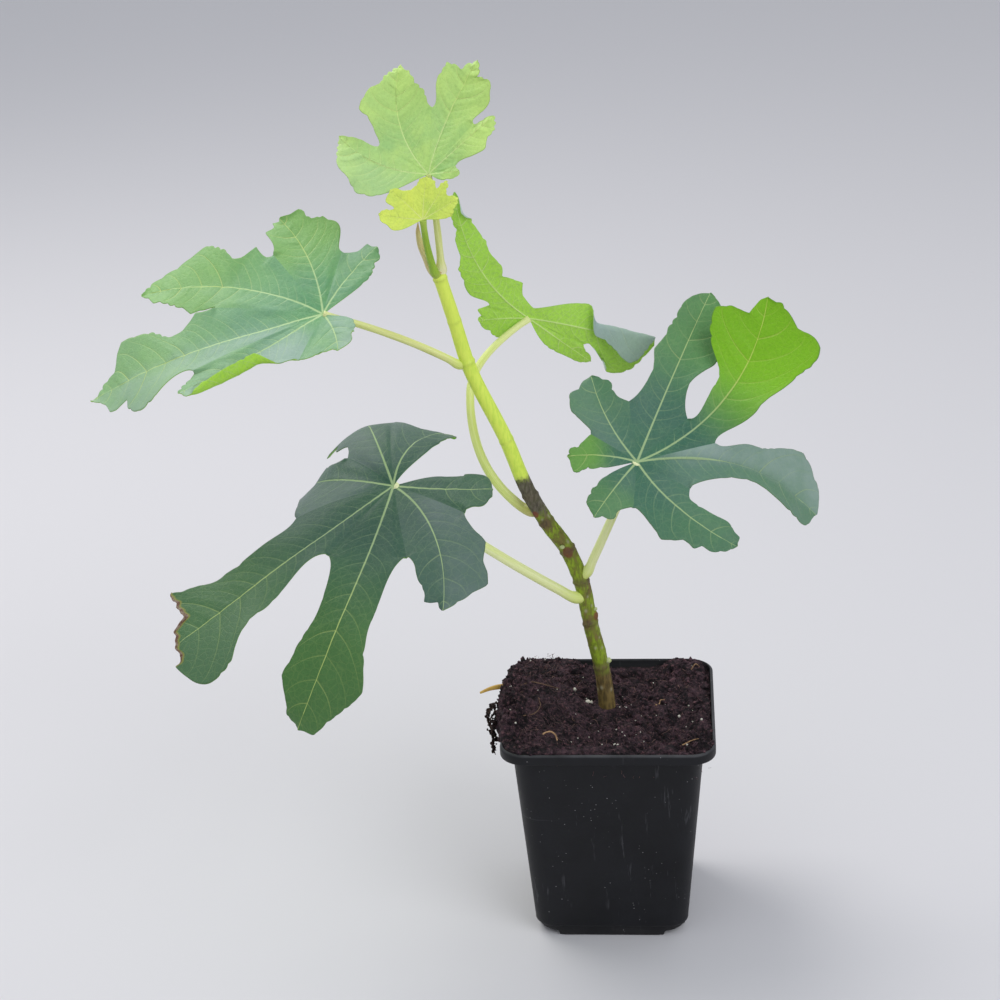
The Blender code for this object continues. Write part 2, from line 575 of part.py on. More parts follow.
def flat_leaf(leaf, inner, outer):
    # a strip per lobe from the right margin over the vein to the left margin, all in one plane
    lobes = leaf["lobes"]
    gaps = [None]
    for turn, radius in leaf["gaps"]:
        gaps.append(np.array([math.cos(math.radians(turn)), math.sin(math.radians(turn))]) * radius)
    gaps.append(None)
    radii = [0.0] + [radius for turn, radius in leaf["gaps"]] + [0.0]
    ways = []
    for one in lobes:
        at, way = vein(one, np.array([0.7 * one["length"]]))
        ways.append(math.degrees(math.atan2(at[0, 1], at[0, 0])))
    ways = np.unwrap(np.array(ways), period=360.0)
    free_from = np.array([max(radii[n], radii[n + 1]) for n in range(len(lobes))])
    # flat points, shared along the lines from the stalk's end to each notch
    flat = [np.zeros(2)]
    shared = []
    for gap in gaps:
        row = []
        if gap is not None:
            for i in range(1, inner + 1):
                row.append(len(flat))
                flat.append(gap * i / inner)
        shared.append(row)
    owner = [-1] * len(flat)
    faces = []
    for n, one in enumerate(lobes):
        reach = reach_of(one, gaps[n:n + 2])
        near = np.linspace(0, reach, inner + 1)
        s = np.concatenate([near, np.linspace(reach, one["length"], outer + 1)[1:]])
        mid, way = vein(one, s)
        rails = []
        for side, gap, row in ((-1, gaps[n], shared[n]), (1, gaps[n + 1], shared[n + 1])):
            if gap is None:
                share = s[1:-1] / one["length"]
            else:
                share = 1 - (1 - np.arange(1, outer) / outer) ** CROWD
            rail = [0] + row
            for p in by_length(margin(one, side, gap), share):
                rail.append(len(flat))
                flat.append(p)
            rails.append(rail)
        centre = [0]
        for p in mid[1:-1]:
            centre.append(len(flat))
            flat.append(p)
        tip = len(flat)
        flat.append(mid[-1])
        # columns from the right edge over the vein to the left edge
        columns = [rails[0]]
        for k in range(HALF_CELLS - 1, 0, -1):
            col = [0]
            for i in range(1, inner + outer):
                col.append(len(flat))
                flat.append(flat[centre[i]] + (flat[rails[0][i]] - flat[centre[i]]) * k / HALF_CELLS)
            columns.append(col)
        columns.append(centre)
        for k in range(1, HALF_CELLS):
            col = [0]
            for i in range(1, inner + outer):
                col.append(len(flat))
                flat.append(flat[centre[i]] + (flat[rails[1][i]] - flat[centre[i]]) * k / HALF_CELLS)
            columns.append(col)
        columns.append(rails[1])
        for left, right in zip(columns[1:], columns[:-1]):
            faces.append((right[0], right[1], left[1]))
            for i in range(1, inner + outer - 1):
                faces.append((right[i], right[i + 1], left[i + 1], left[i]))
            faces.append((right[-1], tip, left[-1]))
        owner += [n] * (len(flat) - len(owner))
    return np.array(flat), np.array(owner), faces, ways, free_from


def build_leaf(name, leaf):
    # the flat strips are bent, then given their thickness square to the bent blade
    flat, owner, faces, ways, free_from = flat_leaf(leaf, *GRID.get(name, FULL_GRID))
    top = bend_leaf(leaf, flat, owner, ways, free_from)
    tris = []
    for face in faces:
        tris.append(face[:3])
        if len(face) == 4:
            tris.append((face[0], face[2], face[3]))
    tris = np.array(tris)
    normal = np.zeros_like(top)
    each = np.cross(top[tris[:, 1]] - top[tris[:, 0]], top[tris[:, 2]] - top[tris[:, 0]])
    for k in range(3):
        np.add.at(normal, tris[:, k], each)
    normal /= np.linalg.norm(normal, axis=1)[:, None] + 1e-12
    half = leaf["thick"] * MM / 2
    count = len(top)
    points = np.concatenate([top + normal * half, top - normal * half])
    solid = list(faces)
    solid += [tuple(count + i for i in reversed(face)) for face in faces]
    edges = set()
    for face in faces:
        for a, b in zip(face, face[1:] + face[:1]):
            edges.add((a, b))
    for a, b in edges:
        if (b, a) not in edges:
            solid.append((b, a, count + a, count + b))
    add_solid(name, points, solid)


def main():
    clear_scene()
    build_pot()
    build_compost()
    stem, stem_radius = build_trunk()
    for name, spec in STALKS.items():
        build_stalk(name, spec, stem, stem_radius)
    for name, leaf in LEAVES.items():
        build_leaf(name, leaf)


main()
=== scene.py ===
import math

import bpy
import numpy as np
from mathutils import Matrix


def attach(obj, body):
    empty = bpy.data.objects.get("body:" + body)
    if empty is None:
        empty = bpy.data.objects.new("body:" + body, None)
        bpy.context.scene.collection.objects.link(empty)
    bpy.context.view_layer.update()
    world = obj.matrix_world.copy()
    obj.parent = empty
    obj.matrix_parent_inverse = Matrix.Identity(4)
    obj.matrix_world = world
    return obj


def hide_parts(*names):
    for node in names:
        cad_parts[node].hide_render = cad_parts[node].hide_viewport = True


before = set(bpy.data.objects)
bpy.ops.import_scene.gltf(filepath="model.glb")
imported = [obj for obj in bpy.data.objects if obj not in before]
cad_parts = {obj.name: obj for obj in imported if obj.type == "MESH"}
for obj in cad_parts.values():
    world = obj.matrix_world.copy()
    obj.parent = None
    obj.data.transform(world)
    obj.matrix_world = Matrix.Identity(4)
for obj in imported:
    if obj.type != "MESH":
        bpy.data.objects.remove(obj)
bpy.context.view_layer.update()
mm = 0.001
print("frame loaded")


# Shapes are worked out in millimetres on arrays of points, and become metres when the mesh is made.

def ease(t):
    # 3 t squared minus 2 t cubed, held to 0 and 1 outside
    t = np.clip(t, 0.0, 1.0)
    return t * t * (3.0 - 2.0 * t)


def bell(x, centre, width):
    # e to the minus square of the distance from the centre in widths
    return np.exp(-((x - centre) / width) ** 2)


def cloud(points, size, seed):
    # value noise from -1 to 1: a random value at each lattice corner, eased between the eight corners of a cell
    spot = points / size
    cell = np.floor(spot).astype(np.int64)
    part = ease(spot - cell)
    total = np.zeros(points.shape[:-1])
    for corner in range(8):
        step = np.array([corner & 1, corner >> 1 & 1, corner >> 2 & 1])
        at = cell + step
        mixed = (at[..., 0] * 73856093) ^ (at[..., 1] * 19349663) ^ (at[..., 2] * 83492791) ^ (seed * 2654435)
        mixed = (mixed ^ (mixed >> 13)) * 1274126177
        value = ((mixed ^ (mixed >> 16)) & 0xFFFFF) / 0xFFFFF
        total += value * np.prod(np.where(step == 1, part, 1.0 - part), axis=-1)
    return total * 2.0 - 1.0


def layered(points, size, seed, layers=3):
    # noise added in layers, each half as wide and half as high as the one before
    return sum(cloud(points, size / 2 ** k, seed + k) / 2 ** k for k in range(layers))


def unit(v):
    # each vector divided by its length
    return v / (np.linalg.norm(v, axis=-1, keepdims=True) + 1e-12)


def turns(count):
    # equal steps round a full turn
    return np.arange(count) * 2 * math.pi / count


def heading(angle):
    # the direction at an angle in a plane: its cosine and sine
    return np.stack([np.cos(angle), np.sin(angle)], -1)


def lengths(points):
    # the distance along a line of points, from 0
    return np.concatenate([[0.0], np.cumsum(np.linalg.norm(np.diff(points, axis=0), axis=1))])


def faceStarts(sizes):
    # the number of the first corner of each face
    return np.concatenate([[0], np.cumsum(sizes)[:-1]])


def addMesh(name, points, corners, sizes, material, nodes=(), cornerData=None):
    # points (n, 3) in mm, corners is one list of point numbers for all faces, sizes counts the corners per face
    mesh = bpy.data.meshes.new(name)
    mesh.vertices.add(len(points))
    mesh.vertices.foreach_set("co", (np.asarray(points) * mm).astype(np.float32).ravel())
    mesh.loops.add(len(corners))
    mesh.loops.foreach_set("vertex_index", np.asarray(corners, dtype=np.int32))
    mesh.polygons.add(len(sizes))
    mesh.polygons.foreach_set("loop_start", faceStarts(sizes).astype(np.int32))
    mesh.update(calc_edges=True)
    mesh.polygons.foreach_set("use_smooth", np.full(len(sizes), True))
    for key, data in (cornerData or {}).items():
        data = np.asarray(data, dtype=np.float32)
        if key.startswith("uv"):
            mesh.uv_layers.new(name=key).uv.foreach_set("vector", data.ravel())
        else:
            kind, part = ("FLOAT_VECTOR", "vector") if data.ndim == 2 else ("FLOAT", "value")
            mesh.attributes.new(key, kind, "CORNER").data.foreach_set(part, data.ravel())
    mesh.materials.append(material)
    piece = bpy.data.objects.new(name, mesh)
    bpy.context.scene.collection.objects.link(piece)
    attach(piece, "root")
    if nodes:
        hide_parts(*nodes)


def loftFaces(rows, around):
    # quads between closed rings, then a fan to one more point at each end
    k = np.arange(rows - 1)[:, None] * around
    i = np.arange(around)
    j = (i + 1) % around
    quads = np.stack([k + i, k + j, k + around + j, k + around + i], -1)
    first, last = rows * around, (rows - 1) * around
    low = np.stack([np.full(around, first), j, i], -1)
    high = np.stack([np.full(around, first + 1), last + i, last + j], -1)
    corners = np.concatenate([each.ravel() for each in (quads, low, high)])
    return corners, np.repeat([4, 3], [last, 2 * around])


def loftMap(rows, around, along):
    # per corner: share of the way round, which runs on past the seam, and the distance along
    k, i = np.meshgrid(np.arange(rows - 1), np.arange(around), indexing="ij")
    quads = np.stack([np.stack([i, i + 1, i + 1, i], -1) / around, along[np.stack([k, k, k + 1, k + 1], -1)]], -1)
    i = i[0]
    low, high = (np.stack([np.stack([i, i + 1 - end, i + end], -1) / around, np.full((around, 3), along[-end])], -1)
                 for end in (0, 1))
    return np.concatenate([each.reshape(-1, 2) for each in (quads, low, high)])


def addRings(name, rings, low, high, material, node):
    # closed rings of points, (rows, around, 3), with one more point at each end
    corners, sizes = loftFaces(*rings.shape[:2])
    addMesh(name, np.concatenate([rings.reshape(-1, 3), low[None], high[None]]), corners, sizes, material, [node])


def frames(line, hint):
    # the way along each line and two directions square to it; line is (..., steps, 3)
    way = unit(np.gradient(line, axis=-2))
    across = unit(np.cross(way, np.asarray(hint)))
    return way, across, np.cross(way, across)


def tubes(lines, radii, around, hint=(0.0, 1.0, 0.0)):
    # circles square to each line, closed at both ends: lines (n, steps, 3), radii (n, steps, 1 or around)
    count, steps = lines.shape[:2]
    way, across, other = frames(lines, hint)
    turn = turns(around)[:, None]
    ring = np.cos(turn) * across[:, :, None] + np.sin(turn) * other[:, :, None]
    rings = lines[:, :, None] + radii[..., None] * ring
    points = np.concatenate([rings.reshape(count, -1, 3), lines[:, :1], lines[:, -1:]], 1)
    corners, sizes = loftFaces(steps, around)
    corners = (corners[None] + np.arange(count)[:, None] * points.shape[1]).ravel()
    return points.reshape(-1, 3), corners, np.tile(sizes, count)


def addTube(name, line, radius, along, material, slotName, nodes=(), mapName="uvAlong", **marks):
    # one tube of radius (steps, around), with a map of the way round and along, and marks (steps, around, 3)
    points, corners, sizes = tubes(line[None], radius[None], radius.shape[1])
    data = {mapName: loftMap(*radius.shape, along)}
    for key, mark in marks.items():
        data[key] = np.concatenate([mark.reshape(-1, 3), np.zeros((2, 3))])[corners]
    addMesh(name, points, corners, sizes, material, nodes, data)


def cubic(p0, p1, t0, t1, u):
    # the cubic from p0 to p1 with the tangents t0 and t1, at the shares u
    return ((2 * u ** 3 - 3 * u ** 2 + 1) * p0 + (u ** 3 - 2 * u ** 2 + u) * t0
            + (3 * u ** 2 - 2 * u ** 3) * p1 + (u ** 3 - u ** 2) * t1)


def curveThrough(stops, count):
    # a smooth line through a few points by length, each tangent taken from its neighbours
    stops = np.asarray(stops, float)
    at = lengths(stops)
    tangent = np.gradient(stops, at, axis=0)
    s = np.linspace(0.0, at[-1], count)
    k = np.clip(np.searchsorted(at, s, side="right") - 1, 0, len(at) - 2)
    step = np.diff(at)[k][:, None]
    share = (s - at[k])[:, None] / step
    return cubic(stops[k], stops[k + 1], step * tangent[k], step * tangent[k + 1], share), s, at


# Materials: a wire is an output in a node tree, and sums and products of wires make Math nodes

class Wire:
    def __init__(self, tree, socket):
        self.tree = tree
        self.socket = socket

    def __add__(self, other):
        return self.calc("ADD", other)

    def __sub__(self, other):
        return self.calc("SUBTRACT", other)

    def __mul__(self, other):
        return self.calc("MULTIPLY", other)

    def calc(self, kind, *others, clamp=False):
        # one Math node with this wire as its first value
        return newNode(self.tree, "Math", enumerate((self, *others)), operation=kind, use_clamp=clamp)

    def ramp(self, low, high, start=0.0, end=1.0):
        # start up to low and end from high on, eased between them
        return newNode(self.tree, "MapRange", enumerate((self, low, high, start, end)),
                       interpolation_type="SMOOTHSTEP")

    def grain(self, scale, detail, rough, stretch=None):
        # noise at this place
        where = newNode(self.tree, "Mapping", {"Vector": self, "Scale": stretch}) if stretch else self
        return newNode(self.tree, "TexNoise", {"Vector": where, "Scale": scale, "Detail": detail, "Roughness": rough})

    def cells(self, scale, feature="F1"):
        # distance to the middle or the edge of a cell at this place
        return newNode(self.tree, "TexVoronoi", {"Vector": self, "Scale": scale}, "Distance", feature=feature)

    def parts(self):
        # the three parts of a vector
        node = newNode(self.tree, "SeparateXYZ", {0: self}).socket.node
        return [Wire(self.tree, out) for out in node.outputs]


def feed(socket, given):
    # a wire is linked, a number or colour is set
    if isinstance(given, Wire):
        given.tree.links.new(given.socket, socket)
    elif socket.type == "RGBA":
        socket.default_value = (*given, 1.0)
    else:
        socket.default_value = given


def newNode(tree, kind, given=(), out=0, **settings):
    # a node with its settings, its inputs fed by number or name; returns one output
    node = tree.nodes.new("ShaderNode" + kind)
    for key, setting in settings.items():
        setattr(node, key, setting)
    for key, each in dict(given).items():
        feed(node.inputs[key], each)
    return Wire(tree, node.outputs[out])


def mix(share, a, b, kind="MIX"):
    # colour a where the share is 0 and b where it is 1, or their product
    tree = next(each.tree for each in (share, a, b) if isinstance(each, Wire))
    return newNode(tree, "Mix", {0: share, 6: a, 7: b}, 2, data_type="RGBA", blend_type=kind)


def coated(colour, *coats):
    # coats laid over a colour one after another, each as (share, colour)
    for share, coat in coats:
        colour = mix(share, colour, coat)
    return colour


def readAttribute(place, name, out="Vector"):
    # values kept on the piece's corners
    return newNode(place.tree, "Attribute", (), out, attribute_name=name)


def readMap(place, name):
    # the piece's own flat map
    return newNode(place.tree, "UVMap", uv_map=name)


def newMaterial(name):
    # a material and the place on the object, in whose tree the other nodes follow
    material = bpy.data.materials.new(name)
    material.use_nodes = True
    return material, newNode(material.node_tree, "TexCoord", (), "Object")


def newGroup(name, takes, gives):
    # takes and gives are names by socket type
    group = bpy.data.node_groups.new(name, "ShaderNodeTree")
    for way, sockets in (("INPUT", takes), ("OUTPUT", gives)):
        for kind, labels in sockets:
            for label in labels:
                group.interface.new_socket(label, in_out=way, socket_type="NodeSocket" + kind)
    given = group.nodes.new("NodeGroupInput").outputs
    return group, {out.name: Wire(group, out) for out in given}, group.nodes.new("NodeGroupOutput").inputs


def finish(material, colour, rough, height, bumpDepth, bumpStrength, **plain):
    # the surface shader: the colour, roughness and bump height vary, the other numbers are plain
    tree = material.node_tree
    shader = tree.nodes["Principled BSDF"].inputs
    feed(shader["Base Color"], colour)
    feed(shader["Roughness"], rough)
    for key, number in plain.items():
        shader[key].default_value = number
    if height is not None:
        feed(shader["Normal"], newNode(tree, "Bump", {
            "Distance": bumpDepth, "Strength": bumpStrength, "Height": height}))
    return material


def makeLeafSkin():
    # Veins, fine net, waxy bloom with painted sheen, lit-through lobes and scorch of a blade, all from the blade's own
    # corner values.
    # Main holds (distance from the main vein, its half width, share toward the margin), side holds
    # (count of side veins passed, gap between them, force), looks holds (lit, waxy bloom with painted sheen, scorch).
    group, take, give = newGroup(
        "leafSkin", (("Vector", ("main", "side", "looks", "flat")), ("Float", ("underSide", "sideWidth", "sideForce")),
                     ("Color", ("blade", "lit", "vein", "bloom", "below", "belowVein", "edge"))),
        (("Color", ("colour",)), ("Float", ("roughness", "height"))))
    fromVein, halfWidth, toMargin = take["main"].parts()
    count, gap, force = take["side"].parts()
    lit, bloom, scorch = take["looks"].parts()
    under, flat = take["underSide"], take["flat"]
    # a soft line over the main vein, and thin lines where the count of side veins is whole
    mainLine = fromVein.calc("DIVIDE", halfWidth).ramp(0.6, 1.5, 1.0, 0.0)
    off = ((count + 0.5).calc("FRACT") - 0.5).calc("ABSOLUTE") * gap
    sideLine = off.calc("DIVIDE", take["sideWidth"]).ramp(0.5, 1.6, 1.0, 0.0) * force
    # the net between the side veins: edges of small cells, and finer ones inside
    net = flat.cells(62.0, "DISTANCE_TO_EDGE").ramp(0.0, 0.09, 1.0, 0.0)
    fineNet = flat.cells(210.0, "DISTANCE_TO_EDGE").ramp(0.0, 0.12, 1.0, 0.0)
    netShare = net * 0.055 + fineNet * 0.03
    patch = flat.grain(9.0, 5.0, 0.65)
    fine = flat.grain(160.0, 3.0, 0.7)
    # veins turn yellow where light comes through the lobe
    vein = mix(lit * 0.8, take["vein"], (0.58, 0.68, 0.07))
    deep = mix(1.0, take["blade"], (0.66, 0.80, 0.92), "MULTIPLY")
    top = mix(lit, mix(patch.ramp(0.32, 0.66), take["blade"], deep), take["lit"])
    dark = mix(1.0, top, (0.72, 0.76, 0.72), "MULTIPLY")
    # the bloom coat is waxy bloom together with a painted sheen
    top = coated(top, (fine.ramp(0.35, 0.75, 0.0, 0.55), dark),
                 (bloom * patch.ramp(0.25, 0.7, 0.55, 1.0), take["bloom"]), (netShare, vein),
                 (sideLine * take["sideForce"], vein), (mainLine * 0.82, vein))
    below = coated(take["below"], (lit * 0.55, take["lit"]), (fine.ramp(0.35, 0.75, 0.0, 0.3), dark),
                   (netShare * 2.6, take["belowVein"]), (mainLine.calc("MAXIMUM", sideLine * 0.9), take["belowVein"]))
    # scorched tissue: amber, then brown, then grey and dry at the very edge
    burnt = mix(fine.ramp(0.4, 0.62), (0.12, 0.045, 0.016), (0.26, 0.20, 0.14))
    both = coated(mix(under, top, below), (toMargin.ramp(0.975, 1.0) * 0.55, take["edge"]),
                  (scorch.ramp(0.12, 0.5) * 0.6, (0.32, 0.28, 0.03)), ((scorch + fine * 0.3).ramp(0.72, 0.92), burnt))
    feed(give["colour"], both)
    feed(give["roughness"], fine.ramp(0.2, 0.8, 0.42, 0.58) + bloom * 0.08 + under * 0.1)
    # veins sink on top and stand out below, the net between them puckers
    raised = sideLine * 0.5 + net * 0.13 + fineNet * 0.08
    feed(give["height"], raised * under.calc("MULTIPLY_ADD", 2.0, -1.0) + fine * 0.16)
    return group


leafSkin = makeLeafSkin()


def leafMaterial(name, tones, sideWidth, sideForce):
    # the leaf skin with one leaf's tones and the values on its corners
    material, place = newMaterial(name)
    given = {"main": readAttribute(place, "mainVein"), "side": readAttribute(place, "sideVein"),
             "looks": readAttribute(place, "looks"), "underSide": readAttribute(place, "underSide", "Fac"),
             "flat": readMap(place, "uvFlat"), "sideWidth": sideWidth, "sideForce": sideForce, **tones}
    out = newNode(place.tree, "Group", given, node_tree=leafSkin).socket.node.outputs
    colour, rough, height = (Wire(place.tree, each) for each in out)
    return finish(material, colour, rough, height, 0.0004, 0.8,
                  **{"Specular IOR Level": 0.45, "Sheen Weight": 0.12, "Sheen Roughness": 0.4})


# Leaves

def lobe(angle, turn, length, neck, belly, blunt, droop, rise, lit=0.0, bloom=0.0, fold=4.0, left=(), right=(),
         roll=None):
    # neck and belly are (share of the length, half width to the left, half width to the right); left and right
    # hold corners of the margin as (share of the way from notch to tip, width as a share, how far out);
    # roll is (side, distance from the vein, radius, most degrees, up or down, where along the vein it starts)
    return dict(angle=angle, turn=turn, length=length, neck=neck, belly=belly, blunt=blunt, droop=droop,
                rise=rise, lit=lit, bloom=bloom, fold=fold, left=left, right=right, roll=roll)
